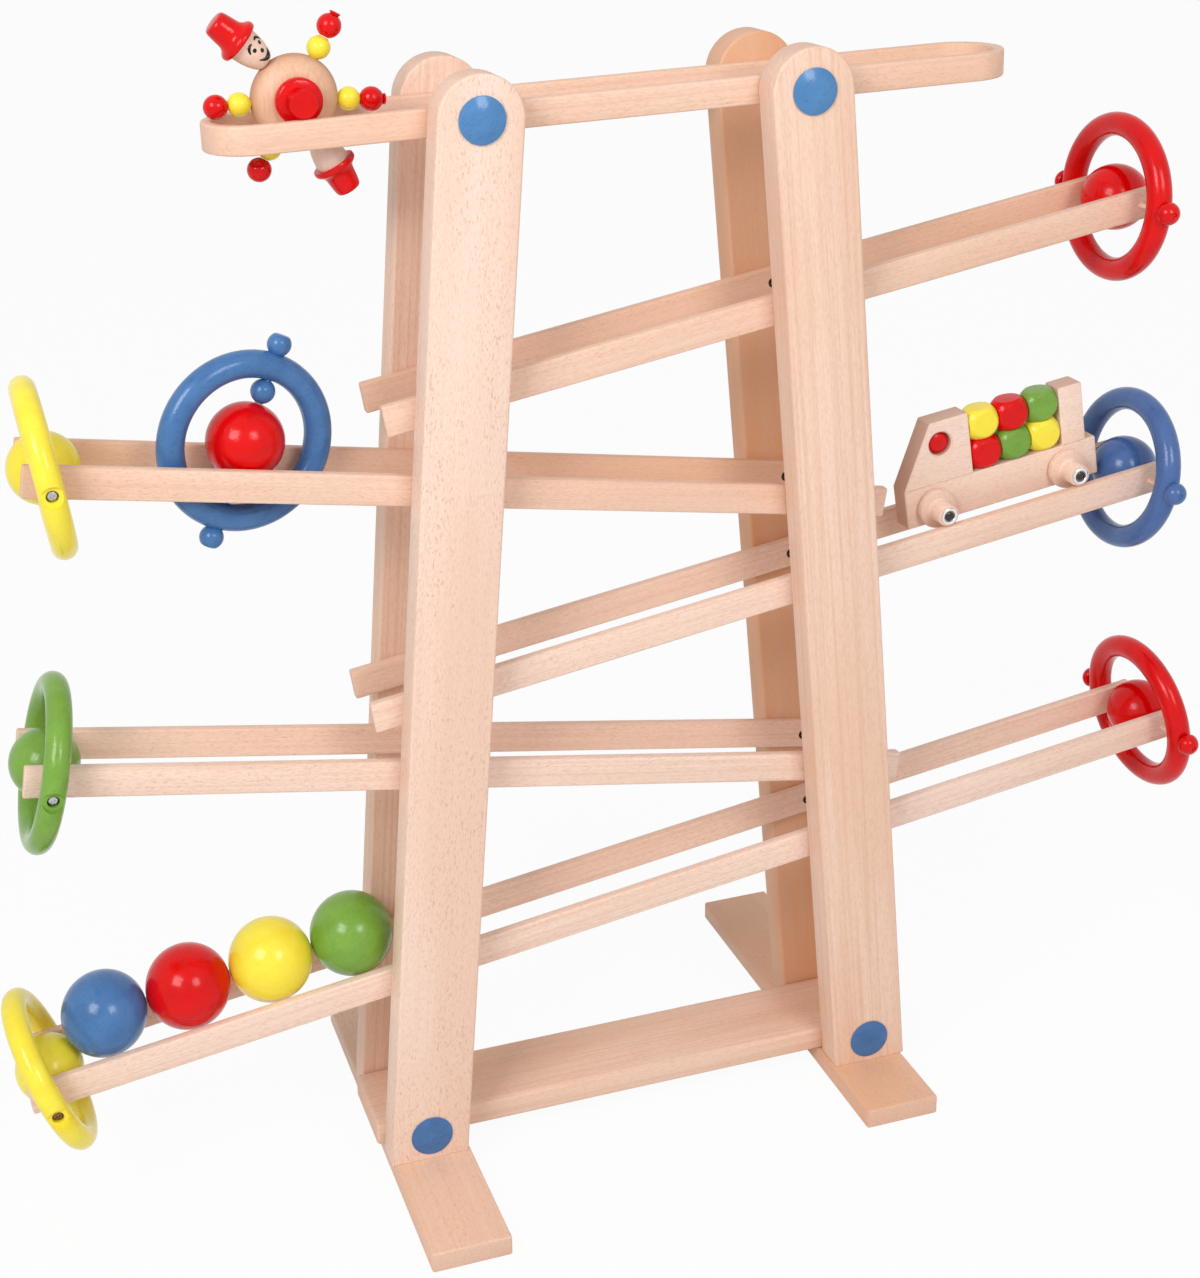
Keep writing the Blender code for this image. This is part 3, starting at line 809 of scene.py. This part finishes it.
def hoop(tube=RING_TUBE):
    """A turned wooden ring about Z, a little flattened where it was sanded inside."""
    piece = add(
        bpy.ops.mesh.primitive_torus_add,
        major_radius=RING_RADIUS,
        minor_radius=tube,
        major_segments=128,
        minor_segments=36,
    )
    bpy.ops.object.mode_set(mode="EDIT")
    inside = RING_RADIUS - tube
    pick(piece, "VERT", lambda corner: corner.co.xy.length < inside + SANDED_DEPTH)
    bpy.ops.transform.resize(value=(SANDED_WIDER, SANDED_WIDER, 1), center_override=(0, 0, 0))
    tidy_mesh()
    return piece


def bore(radius, start, end, segments=32):
    """A drill along Y, from one distance to another in millimetres."""
    tool = add(
        bpy.ops.mesh.primitive_cylinder_add,
        vertices=segments,
        radius=radius * MM,
        depth=(end - start) * MM,
    )
    tool.data.transform(
        Matrix.Translation((0, (start + end) / 2 * MM, 0)) @ Matrix.Rotation(math.pi / 2, 4, "X")
    )
    return tool


# Ends of the ramps, in millimetres from the middle of the pin.
SPACER_BALL = 17.9
SPACER_FLAT = 4.6
PIN_RADIUS = 1.5
PIN_TIP_RADIUS = 1.2
PIN_TAPER = 0.4
PIN_BORE = 1.8
PIN_BORE_END = 60
KNOB_PIN_END = 45.6
KNOB_START = 45.5
KNOB_RINGS = [(3.8, 0.0), (5.2, 0.2), (6.0, 1.0)]
KNOB_RINGS += round_rings(centre=1.2, radius=6.3, first=96, last=162, count=10)
KNOB_RINGS += [(1.5, 7.0), (1.2, 6.3), (0.2, 6.1)]
SCREW_PIN_END = 41.3
SCREW_START = 41.5
PIN_SCREW = (2.4, 0.9)
# Radius, start and end of the two cuts that sink a screw into a ring.
SPOT_FACE = (5.4, 43.0, 60)
SCREW_HOLE = (3.1, 37.0, 44)


def bored_hoop(knobs):
    """A ring with the hole for its pin and, where it has screws, a seat for each head."""
    ring = hoop()
    cut(ring, bore(PIN_BORE, -PIN_BORE_END, PIN_BORE_END))
    if not knobs:
        for face, _ in ROWS:
            for radius, start, end in (SPOT_FACE, SCREW_HOLE):
                cut(ring, bore(radius, *sorted((face * start, face * end))))
    return ring


def cross_pin(knobs):
    """A pin that reaches into its knobs, or to its screws."""
    end = KNOB_PIN_END if knobs else SCREW_PIN_END
    half = [(PIN_RADIUS, end - PIN_TAPER), (PIN_TIP_RADIUS, end)]
    return turned(mirrored(half), segments=24)


def make_pin_ends(pattern, name, pin, colour, knobs):
    """Both ends of a pin: knobs on a right ring, screws on a left one."""
    node = "end_ball_" + name
    start = KNOB_START if knobs else SCREW_START
    for face, row in ROWS:
        spot = pin + Vector((0, face * start * MM, 0))
        piece = place(copy_of(pattern), spot, (0, face, 0))
        if knobs:
            painted_piece(piece, f"pin_knob_{name}_{row}", "frame", colour, [node])
        else:
            finish = BRASS if name == "ramp_5_low" else STEEL
            done(piece, f"pin_screw_{name}_{row}", "frame", finish, [node])


def make_ring_ends():
    """At the end of each ramp: a ring, the ball inside it, and the pin through both."""
    spacer = ball(SPACER_BALL, SPACER_FLAT)
    hoops = {knobs: bored_hoop(knobs) for knobs in (True, False)}
    pins = {knobs: cross_pin(knobs) for knobs in (True, False)}
    tips = {True: turned(KNOB_RINGS, segments=40), False: screw(*PIN_SCREW)}
    for name, (tilt, colour, knobs) in RINGS.items():
        rise = math.radians(SLOPES[name.replace("_low", "")])
        node = "end_ball_" + name
        pin = middle(node)
        piece = slant(copy_of(hoops[knobs]), pin, rise - math.radians(90 + tilt))
        painted_piece(piece, "hoop_" + name, "ring_" + name, colour, ["ring_" + name])
        piece = place(copy_of(spacer), pin, (0, 1, 0))
        painted_piece(piece, "spacer_ball_" + name, "frame", colour, [node])
        grain = beech_across("beech_pin_" + name)
        piece = place(copy_of(pins[knobs]), pin, (0, 1, 0))
        done(piece, "cross_pin_" + name, "frame", grain, [node])
        make_pin_ends(tips[knobs], name, pin, colour, knobs)
    discard(spacer, *hoops.values(), *pins.values(), *tips.values())


# Rolling toys.
LOOSE_BALL = 22.5
LOOSE_FLAT = 1.6
# Each loose ball's paint, and the way that its lathe axis points.
LOOSE_BALLS = (
    ("blue", (0.3, 0.5, 0.8)),
    ("red", (0.7, -0.2, 0.6)),
    ("yellow", (-0.4, 0.6, 0.7)),
    ("green", (0.1, 0.9, 0.4)),
)


def make_loose_balls():
    """The train of balls on the lowest ramp."""
    pattern = ball(LOOSE_BALL, LOOSE_FLAT, segments=80, count=40)
    for number, (colour, way) in enumerate(LOOSE_BALLS, start=1):
        node = f"loose_ball_{number}"
        piece = place(copy_of(pattern), middle(node), Vector(way).normalized())
        painted_piece(piece, "turned_" + node, node, colour, [node])
    discard(pattern)


# The figure, in millimetres from the middle of its axle.
DRUM_RADIUS = 21.0
DRUM_CURVE = 11.2
DRUM_FLANK = 8.7
DRUM_SIDE = 8.9
HUB_RINGS = [
    (4.1, 9.1), (10.6, 9.1), (11.1, 9.4), (11.1, 13.0), (10.7, 13.6), (9.8, 14.0),
    (7.0, 14.2), (6.8, 14.8), (6.7, 21.8), (6.2, 22.3), (4.4, 22.5), (0.2, 22.5),
]
# Each arm's direction, in degrees up from X.
ARMS = {"right": -5, "upper_right": 60, "left": 182, "lower_left": 240}
ELBOW_RINGS = [(1.8, 20.5)]
ELBOW_RINGS += round_rings(centre=26.2, radius=5.7, first=24, last=158, count=18)
HAND_RINGS = round_rings(centre=37.3, radius=5.9, first=22, last=158, count=18)
FLARED_TIP = [(2.1, 42.9), (2.7, 43.3), (2.8, 43.8), (2.3, 44.2), (0.2, 44.3)]
ROUND_TIP = [(1.5, 43.0), (0.7, 43.16), (0.2, 43.2)]
HEAD_RINGS = [
    (2.9, 20.6), (4.1, 21.0), (5.2, 22.3), (6.1, 24.3), (6.9, 26.7),
    (7.5, 29.3), (7.9, 32.0), (8.1, 34.6), (8.1, 37.0),
]
HAT_RINGS = [
    (8.2, 36.3), (9.6, 35.9), (10.5, 36.2), (10.8, 37.2), (10.6, 38.3), (9.9, 39.2), (8.9, 39.9),
    (8.1, 40.7), (7.5, 41.8), (7.2, 43.2), (7.0, 45.0), (6.8, 47.0), (6.5, 49.0), (6.2, 50.5),
    (5.7, 51.4), (4.9, 51.8), (0.2, 51.9),
]
# Each head's place round the axle, how far it sits askew, and where its face looks.
HEADS = {"upper": (125, 14, 28), "lower": (298, 0, 180)}
# A head that sits askew is lifted, so that the rim of its neck clears the body.
NECK_LIFT = 2.14 * MM
# The face: eyes and nose as places and radii, a brow as places, and the width of its stroke.
FACE_DOTS = ((-2.6, 30.0, 1.05), (2.6, 30.0, 1.05), (0.2, 27.0, 1.1))
DOT_FLATNESS = 0.35
DOT_DROOP = 0.2
DOT_SUNK = 0.1 * MM
BROW = [(5.2, 30.4), (4.7, 31.8), (3.7, 32.8), (2.4, 33.2), (1.1, 32.9)]
BROW_WIDTHS = [0.35, 0.75, 0.9, 0.75, 0.35]
# The smile: where it starts, its length, height and sag, and how its stroke swells to one side.
SMILE_START = -4.2
SMILE_LENGTH = 8.0
SMILE_HEIGHT = 25.4
SMILE_SAG = 2.3
SMILE_THIN = 0.3
SMILE_SWELL = 1.15
SMILE_LOPSIDED = 1.3
# The share of a stroke's width that lies under the surface.
STROKE_SUNK = 0.45


def on_face(across, high):
    """A place on the doll's face, in millimetres, with the face towards -Y."""
    for (narrow, below), (wide, above) in zip(HEAD_RINGS, HEAD_RINGS[1:]):
        if below <= high <= above:
            radius = narrow + (wide - narrow) * (high - below) / (above - below)
    angle = across / radius
    return Vector((radius * math.sin(angle), -radius * math.cos(angle), high)) * MM


def brush_stroke(points, widths):
    """A raised line of paint through places on the face."""
    curve = bpy.data.curves.new("stroke", "CURVE")
    curve.dimensions = "3D"
    curve.bevel_depth = MM
    curve.bevel_resolution = 3
    curve.use_fill_caps = True
    spline = curve.splines.new("POLY")
    spline.points.add(len(points) - 1)
    for point, spot, width in zip(spline.points, points, widths):
        inward = Vector((spot.x, spot.y, 0)).normalized() * width * STROKE_SUNK * MM
        point.co = (*(spot - inward), 1.0)
        point.radius = width
    line = bpy.data.objects.new("stroke", curve)
    bpy.context.scene.collection.objects.link(line)
    only(line)
    bpy.ops.object.convert(target="MESH")
    return bpy.context.object


def face_paint():
    """Two eyes, two arched brows, a nose and a lopsided smile, joined as one piece of paint."""
    parts = []
    for across, high, radius in FACE_DOTS:
        spot = on_face(across, high)
        rings = round_rings(centre=0.0, radius=radius, first=90, last=176, count=8)
        dot = turned(rings, segments=24)
        dot.data.transform(Matrix.Diagonal((1, 1, DOT_FLATNESS, 1)))
        outward = Vector((spot.x, spot.y, -spot.xy.length * DOT_DROOP)).normalized()
        parts.append(place(dot, spot - outward * DOT_SUNK, outward))
    for side in (-1, 1):
        arch = [on_face(side * across, high) for across, high in BROW]
        parts.append(brush_stroke(arch, BROW_WIDTHS))
    smile = []
    widths = []
    for step in range(11):
        share = step / 10
        high = SMILE_HEIGHT - SMILE_SAG * math.sin(math.pi * share)
        smile.append(on_face(SMILE_START + SMILE_LENGTH * share, high))
        widths.append(SMILE_THIN + SMILE_SWELL * math.sin(math.pi * share**SMILE_LOPSIDED))
    parts.append(brush_stroke(smile, widths))
    bpy.ops.object.select_all(action="DESELECT")
    for part in parts:
        part.select_set(True)
    bpy.context.view_layer.objects.active = parts[0]
    bpy.ops.object.join()
    return bpy.context.object


def pointing(angle):
    """A direction in the plane of the ramps, counted up from X in degrees."""
    return Vector((math.cos(math.radians(angle)), 0, math.sin(math.radians(angle))))


def drum_rings():
    """The figure's body: an oval turned about its axle and cut flat at both sides."""
    rim = []
    for step in range(-14, 15):
        flank = DRUM_FLANK * step / 14
        rim.append((DRUM_RADIUS * math.sqrt(1 - (flank / DRUM_CURVE) ** 2), flank))
    return [(4.4, -DRUM_SIDE), (11.6, -DRUM_SIDE)] + rim + [(11.6, DRUM_SIDE), (4.4, DRUM_SIDE)]


def make_arms(axle):
    """Two beads on each arm. A flared tip shows on the two right ones."""
    elbow = turned(ELBOW_RINGS, segments=40)
    flared_hand = turned(HAND_RINGS + FLARED_TIP, segments=40)
    round_hand = turned(HAND_RINGS + ROUND_TIP, segments=40)
    for name, angle in ARMS.items():
        spoke = pointing(angle)
        node = "tumbler_arm_" + name
        piece = place(copy_of(elbow), axle, spoke)
        painted_piece(piece, "elbow_bead_" + name, "tumbler_figure", "yellow", [node])
        hand = flared_hand if name.endswith("right") else round_hand
        piece = place(copy_of(hand), axle, spoke)
        painted_piece(piece, "hand_bead_" + name, "tumbler_figure", "red", [node])
    discard(elbow, flared_hand, round_hand)


def make_heads(axle):
    """Two doll heads, each with a hat and a face."""
    wood = beech(
        "beech_heads",
        turn=(0.2, 0.9, 0.1),
        grain=(0.5, 0.1, 0.85),
        shift=(1, 4, 8),
        tone=0.1,
        streaks=0.1,
        flecks=0.1,
    )
    head = turned(HEAD_RINGS, segments=48)
    hat = turned(HAT_RINGS, segments=48)
    face = face_paint()
    foot = HEAD_RINGS[0][1] * MM
    for name, (angle, askew, looks) in HEADS.items():
        node = "tumbler_head_" + name
        way = pointing(angle + askew)
        lift = NECK_LIFT * math.sin(math.radians(askew))
        root = axle + pointing(angle) * (foot + lift) - way * foot
        piece = place(copy_of(head), root, way)
        done(piece, "doll_head_" + name, "tumbler_figure", wood, [node])
        piece = place(copy_of(hat), root, way)
        painted_piece(piece, "doll_hat_" + name, "tumbler_figure", "red", [node])
        piece = place(copy_of(face), root, way, math.radians(looks))
        painted_piece(piece, "doll_face_" + name, "tumbler_figure", "black", [node])
    discard(head, hat, face)


def make_tumbler():
    """The figure on the top track: body, hubs, arms and heads."""
    axle = middle("tumbler_axle")
    grain = beech(
        "beech_tumbler",
        turn=(0, math.pi / 2, 0),
        grain=(0, 1, 0),
        shift=(5, 9, 2),
        tone=0.7,
        streaks=1.0,
        flecks=0.3,
        # The drum's rim and top deepen, partly as painted shade.
        sawn=1.0,
    )
    piece = place(turned(drum_rings(), segments=80), axle, (0, 1, 0))
    done(piece, "tumbler_drum", "tumbler_figure", grain, ["tumbler_body"])
    piece = place(turned(mirrored(HUB_RINGS), segments=56), axle, (0, 1, 0))
    painted_piece(piece, "tumbler_hubs", "tumbler_axle", "red", ["tumbler_axle"])
    make_arms(axle)
    make_heads(axle)


# The roller, in millimetres from the middle of its ball.
ROLLER_BALL = 19.7
ROLLER_FLAT = 2.4
ROLLER_LATHE = (0.42, 0.09, 0.9)
ROLLER_TUBE = 7.0 * MM
ROLLER_YAW = math.radians(12)
PEG_LEAN = math.radians(25)
PEG_BORE = 2.7 * MM
PEG_BORE_LENGTH = 120 * MM
PEG_RINGS = [(2.2, 20.0), (2.3, 20.4)]
PEG_RINGS += round_rings(centre=26.1, radius=6.2, first=24, last=156, count=18)
PEG_RINGS += [(2.35, 32.2), (2.35, 44.8)]
PEG_RINGS += round_rings(centre=50.4, radius=6.1, first=28, last=138, count=16)
PEG_RINGS += [(3.7, 55.1), (3.2, 55.3), (0.2, 55.3)]


def make_roller():
    """The ball on the second ramp, the ring round it, and the beads on its peg."""
    hub = middle("roller_ball")
    piece = place(ball(ROLLER_BALL, ROLLER_FLAT, segments=72, count=36), hub, ROLLER_LATHE)
    painted_piece(piece, "roller_core", "roller_ball", "red", ["roller_ball"])
    lean = math.sin(PEG_LEAN)
    line = Vector((lean * math.cos(ROLLER_YAW), lean * math.sin(ROLLER_YAW), math.cos(PEG_LEAN)))
    ring = hoop(ROLLER_TUBE)
    ring.data.transform(Matrix.Rotation(math.pi / 2, 4, "X"))
    ring.data.transform(Matrix.Translation(hub) @ Matrix.Rotation(ROLLER_YAW, 4, "Z"))
    tool = add(
        bpy.ops.mesh.primitive_cylinder_add, vertices=24, radius=PEG_BORE, depth=PEG_BORE_LENGTH
    )
    cut(ring, place(tool, hub, line))
    painted_piece(ring, "roller_hoop", "roller_ring", "blue", ["roller_ring"])
    pattern = turned(PEG_RINGS, segments=40)
    for word, way in (("upper", 1), ("lower", -1)):
        piece = place(copy_of(pattern), hub, way * line)
        painted_piece(piece, "peg_beads_" + word, "roller_ring", "blue", ["roller_peg_" + word])
    discard(pattern)


# The truck's body, in millimetres from its front axle, before it is laid on its ramp.
TRUCK_LENGTH = 118.5
TRUCK_THICKNESS = 13
CHASSIS_HEIGHT = 22.5
CAB_LENGTH = 42.5
CAB_HEIGHT = 35.5
CAB_SLOPE = 19
TAIL_HEIGHT = 34.0
TAIL_LENGTH = 20.7
TAIL_STEP = 6.0
TRUCK_NOSE = -17.0
TRUCK_BOTTOM = -9.3
TRUCK_TAIL = TRUCK_NOSE + TRUCK_LENGTH
TRUCK_DECK = TRUCK_BOTTOM + CHASSIS_HEIGHT
BED_FRONT = TRUCK_NOSE + CAB_LENGTH
BED_REAR = TRUCK_TAIL - TAIL_LENGTH
TAIL_END = TRUCK_TAIL - TAIL_STEP
TRUCK_EDGE = 0.9 * MM
AXLE_BORE = 3.3
AXLE_BORE_END = 20
GROOVE_DEPTH = 0.6
GROOVE_HEIGHT = 0.24
GROOVE_PAST_NOSE = 1
WINDOW_SEAT = [(6.7, -4.0), (6.7, 0.4), (7.8, 1.5), (7.8, 6.0)]
WINDOW_SEAT_Y = 5.2 * MM
WINDOW_RADIUS = 6.2
WINDOW_SIDE = 3.0
WINDOW_CROWN = 2.6
WINDOW_ANGLES = (0.0, 0.3, 0.6, 0.9, 1.2, 1.4, 1.54)
AXLE_RINGS = [(2.6, -21.0), (2.6, 21.0)]
AXLE_EDGE = 0.3 * MM
WHEEL_RINGS = [
    (3.2, 6.9), (9.6, 6.9), (10.6, 7.3), (10.9, 8.2), (10.9, 10.2), (10.6, 11.2), (9.8, 11.7),
    (7.0, 12.0), (6.3, 12.6), (6.0, 13.6), (6.0, 21.2), (5.7, 22.0), (5.0, 22.3), (3.0, 22.3),
]
CAP_RINGS = [
    (4.0, 21.9), (4.6, 22.1), (4.8, 22.5), (4.6, 22.95), (4.1, 23.25), (3.5, 23.25),
    (3.1, 22.95), (2.9, 22.5), (0.2, 22.5),
]
# A dark dome in each polished cap: painted reflection, the dark middle that the cap shows.
TIP_REFLECTION_RINGS = [(2.7, 22.4), (2.75, 22.7), (2.5, 23.0), (1.8, 23.3), (0.9, 23.45), (0.1, 23.5)]
# The load: a block's size, the ball that rounds it while it is one metre wide, and the paints.
CARGO_SIZE = mm(17.6, 15, 16.9)
CARGO_EDGE = 1.2 * MM
ROUNDING_BALL = 648.0
ROUNDING_FLAT = 60.0
CARGO = ("red", "green", "yellow", "yellow", "red", "green")


def truck_profile():
    """The truck's board: a chassis with the cab and the tail drawn up from its deck."""

    def on_deck(face, low, high):
        """A face that looks up from the deck, between two places along the truck."""
        centre = face.calc_center_median()
        level = abs(centre.z - TRUCK_DECK * MM) < APART
        return face.normal.z > LOOKS_UP and level and low * MM < centre.x < high * MM

    def at_cab_front(corner):
        """A corner at the top of the cab's front."""
        high = corner.co.z > (TRUCK_DECK + CAB_HEIGHT / 2) * MM
        return high and corner.co.x < TRUCK_NOSE * MM + APART

    centre = mm((TRUCK_NOSE + TRUCK_TAIL) / 2, 0, (TRUCK_BOTTOM + TRUCK_DECK) / 2)
    piece = block(mm(TRUCK_LENGTH, TRUCK_THICKNESS, CHASSIS_HEIGHT), centre)
    bpy.ops.object.mode_set(mode="EDIT")
    for x in (BED_FRONT, BED_REAR, TAIL_END):
        pick_all()
        bpy.ops.mesh.bisect(plane_co=(x * MM, 0, 0), plane_no=(1, 0, 0))
    for low, high, up in ((TRUCK_NOSE, BED_FRONT, CAB_HEIGHT), (BED_REAR, TAIL_END, TAIL_HEIGHT)):
        pick(piece, "FACE", lambda face: on_deck(face, low, high))
        bpy.ops.mesh.extrude_region_move(TRANSFORM_OT_translate={"value": (0, 0, up * MM)})
    pick(piece, "VERT", at_cab_front)
    bpy.ops.transform.translate(value=(CAB_SLOPE * MM, 0, 0))
    tidy_mesh()
    ease(piece, TRUCK_EDGE)
    return piece


def make_truck_body(rise, front, rear, eye):
    """The profile, drilled for its axles, grooved over the chassis and sunk for its window."""
    along = Vector((math.cos(rise), 0, math.sin(rise)))
    above = Vector((-math.sin(rise), 0, math.cos(rise)))

    def before_slant(spot):
        """A move to a place on the board before it is laid on its ramp."""
        offset = spot - front
        return Matrix.Translation((offset.dot(along), 0, offset.dot(above)))

    piece = truck_profile()
    for hub in (front, rear):
        tool = bore(AXLE_BORE, -AXLE_BORE_END, AXLE_BORE_END, segments=24)
        tool.data.transform(before_slant(hub))
        cut(piece, tool)
    for low, high in ((TRUCK_NOSE - GROOVE_PAST_NOSE, BED_FRONT), (BED_REAR, TAIL_END)):
        for face in (-1, 1):
            centre = mm((low + high) / 2, face * TRUCK_THICKNESS / 2, TRUCK_DECK)
            cut(piece, block(mm(high - low, GROOVE_DEPTH, GROOVE_HEIGHT), centre))
    for face in (-1, 1):
        tool = turned(WINDOW_SEAT, segments=48)
        seat = Matrix.Translation((0, face * WINDOW_SEAT_Y, 0))
        outward = Matrix.Rotation(-face * math.pi / 2, 4, "X")
        tool.data.transform(before_slant(eye) @ seat @ outward)
        cut(piece, tool)
    slant(piece, front, rise)
    grain = beech(
        "beech_truck",
        turn=(0, rise, 0),
        grain=(0, 1, 0),
        shift=(9, 31, 55),
        tone=0.04,
        streaks=0.1,
        flecks=0.2,
        # The nose, roof and windscreen deepen: the sawn wood, and painted shade on the roof and
        # windscreen.
        sawn=0.6,
    )
    done(piece, "truck_profile", "truck", grain, ["truck_body"])


def make_truck_window(eye):
    """A red peg, domed at both ends, as the cab's window."""
    dome = []
    for angle in WINDOW_ANGLES:
        dome.append((WINDOW_RADIUS * math.cos(angle), WINDOW_SIDE + WINDOW_CROWN * math.sin(angle)))
    pane = place(turned(mirrored(dome), segments=40), eye, (0, -1, 0))
    painted_piece(pane, "truck_window_peg", "truck", "red", ["truck_window"])


def make_truck_wheels(front, rear):
    """Two axles, each with two flanged wheels, polished caps, and dark tips that paint the dark
    reflection in the middle of the caps.
    """
    wood = beech_across("beech_wheels", shift=(2, 8, 5), tone=0.1, streaks=0.1, flecks=0.2)
    axle = turned(AXLE_RINGS, segments=24)
    ease(axle, AXLE_EDGE, segments=2)
    on_each_end = (
        ("wheel", turned(WHEEL_RINGS, segments=56), wood),
        ("cap", turned(CAP_RINGS, segments=40), CHROME),
        # Dark steel tips: painted reflection in the middle of each cap.
        ("tip_reflection", turned(TIP_REFLECTION_RINGS, segments=32), DARK_STEEL),
    )
    for word, hub in (("front", front), ("rear", rear)):
        node = f"truck_{word}_wheels"
        piece = place(copy_of(axle), hub, (0, 1, 0))
        done(piece, f"truck_{word}_axle", node, STEEL, [node])
        for face, row in ((-1, "near"), (1, "far")):
            for kind, pattern, finish in on_each_end:
                piece = place(copy_of(pattern), hub, (0, face, 0))
                done(piece, f"truck_{word}_{kind}_{row}", node, finish, [node])
    discard(axle, *(pattern for _, pattern, _ in on_each_end))


def cargo_block():
    """A wooden block whose corners are rounded off to a ball, so that its faces are round."""
    bead = add(bpy.ops.mesh.primitive_cube_add, size=1.0)
    tool = ball(ROUNDING_BALL, ROUNDING_FLAT, segments=64, count=48)
    apply_modifier(bead, "BOOLEAN", object=tool, operation="INTERSECT", solver="EXACT")
    bpy.data.objects.remove(tool, do_unlink=True)
    bead.scale = CARGO_SIZE
    only(bead)
    bpy.ops.object.transform_apply(scale=True)
    ease(bead, CARGO_EDGE, segments=4, angle=20)
    return bead


def make_truck():
    """The truck on the third ramp, with its load."""
    rise = math.radians(SLOPES["ramp_3"])
    front = middle("truck_front_wheels")
    rear = middle("truck_rear_wheels")
    eye = middle("truck_window")
    make_truck_body(rise, front, rear, eye)
    make_truck_window(eye)
    make_truck_wheels(front, rear)
    pattern = cargo_block()
    for number, colour in enumerate(CARGO, start=1):
        node = f"cargo_bead_{number}"
        piece = slant(copy_of(pattern), middle(node), rise)
        painted_piece(piece, "load_" + node, "truck", colour, [node])
    discard(pattern)


make_feet_and_plank()
make_posts()
make_track()
make_buttons()
make_rails()
make_rail_screws()
make_ring_ends()
make_loose_balls()
make_tumbler()
make_roller()
make_truck()


# Floor, light and camera.
WHITE = (1, 1, 1, 1)
FLOOR_GREY = (0.82, 0.82, 0.82, 1)
FLOOR_SIZE = 40.0
FLOOR_GLOW = 0.94
WORLD_LIGHT = 0.50
# Each lamp's place in metres, its size and its power in watts.
LAMPS = {
    "soft_left": ((-1.15, -0.95, 1.35), 0.72, 15),
    "soft_right": ((0.35, -1.45, 1.30), 0.58, 8.5),
}
LAMP_AIM = Vector((0, 0, 0.3))


def seen_directly(tree):
    """One where the eye, a mirror or a pane of glass sees the surface, nought where it lights."""
    path = tree.nodes.new("ShaderNodeLightPath")
    seen = sums(tree, "MAXIMUM", path.outputs["Is Camera Ray"], path.outputs["Is Glossy Ray"])
    return sums(tree, "MAXIMUM", seen, path.outputs["Is Transmission Ray"])


def make_floor():
    """A pale floor that takes a shadow and fades into the white behind it."""
    floor = add(bpy.ops.mesh.primitive_plane_add, size=FLOOR_SIZE)
    floor.name = "studio_floor"
    made = bpy.data.materials.new("studio_white")
    made.use_nodes = True
    nodes = made.node_tree.nodes
    links = made.node_tree.links
    nodes.clear()
    out = nodes.new("ShaderNodeOutputMaterial")
    matt = nodes.new("ShaderNodeBsdfDiffuse")
    put(matt, {"Color": FLOOR_GREY})
    glow = nodes.new("ShaderNodeEmission")
    put(glow, {"Color": WHITE, "Strength": 1.0})
    seen = sums(made.node_tree, "MULTIPLY", seen_directly(made.node_tree), FLOOR_GLOW)
    mix = nodes.new("ShaderNodeMixShader")
    links.new(seen, mix.inputs["Fac"])
    links.new(matt.outputs[0], mix.inputs[1])
    links.new(glow.outputs[0], mix.inputs[2])
    links.new(mix.outputs[0], out.inputs["Surface"])
    floor.data.materials.append(made)


def make_light():
    """A white room that is seen brighter than it lights, and two soft lamps in front."""
    world = bpy.data.worlds.new("studio")
    bpy.context.scene.world = world
    world.use_nodes = True
    nodes = world.node_tree.nodes
    links = world.node_tree.links
    light = nodes["Background"]
    put(light, {"Color": WHITE, "Strength": WORLD_LIGHT})
    white = nodes.new("ShaderNodeBackground")
    put(white, {"Color": WHITE})
    mix = nodes.new("ShaderNodeMixShader")
    links.new(seen_directly(world.node_tree), mix.inputs["Fac"])
    links.new(light.outputs[0], mix.inputs[1])
    links.new(white.outputs[0], mix.inputs[2])
    links.new(mix.outputs[0], nodes["World Output"].inputs["Surface"])
    for name, (spot, size, power) in LAMPS.items():
        lamp = bpy.data.lights.new(name, "AREA")
        lamp.shape = "SQUARE"
        lamp.size = size
        lamp.energy = power
        holder = bpy.data.objects.new(name, lamp)
        holder.location = spot
        holder.rotation_euler = (LAMP_AIM - Vector(spot)).to_track_quat("-Z", "Y").to_euler()
        bpy.context.scene.collection.objects.link(holder)


# The camera fitted to the photograph: sizes and the centre of view in pixels, then yaw, pitch and
# roll in degrees, and its place in metres from the middle of the plank and above the floor.
PHOTO_WIDE, PHOTO_HIGH = 1200, 1278
LENS_PIXELS = 2012
CENTRE_ACROSS, CENTRE_DOWN = 450, 420
CAMERA_ANGLES = (15.75, -18.24, -2.19)
CAMERA_PLACE = (-0.35415, -0.92559, 0.73227)
SENSOR = 36
NEAREST = 50 * MM


def make_camera():
    """The photograph's view, with the lens shifted because the picture isn't centred on it."""
    lens = bpy.data.cameras.new("photo_view")
    lens.sensor_width = SENSOR
    lens.lens = LENS_PIXELS / PHOTO_HIGH * SENSOR
    lens.shift_x = (PHOTO_WIDE / 2 - CENTRE_ACROSS) / PHOTO_HIGH
    lens.shift_y = (CENTRE_DOWN - PHOTO_HIGH / 2) / PHOTO_HIGH
    lens.clip_start = NEAREST
    holder = bpy.data.objects.new("photo_view", lens)
    yaw, pitch, roll = (math.radians(angle) for angle in CAMERA_ANGLES)
    ahead = Vector((math.sin(yaw) * math.cos(pitch), math.cos(yaw) * math.cos(pitch), math.sin(pitch)))
    right = ahead.cross(Vector((0, 0, 1))).normalized()
    up = right.cross(ahead)
    cosine, sine = math.cos(roll), math.sin(roll)
    right, up = cosine * right + sine * up, cosine * up - sine * right
    turn = Matrix((right, up, -ahead)).transposed().to_4x4()
    x, y, z = CAMERA_PLACE
    holder.matrix_world = Matrix.Translation((MID_X + x, MID_Y + y, z)) @ turn
    bpy.context.scene.collection.objects.link(holder)
    bpy.context.scene.camera = holder


make_floor()
make_light()
make_camera()
bpy.context.scene.view_settings.view_transform = "Standard"
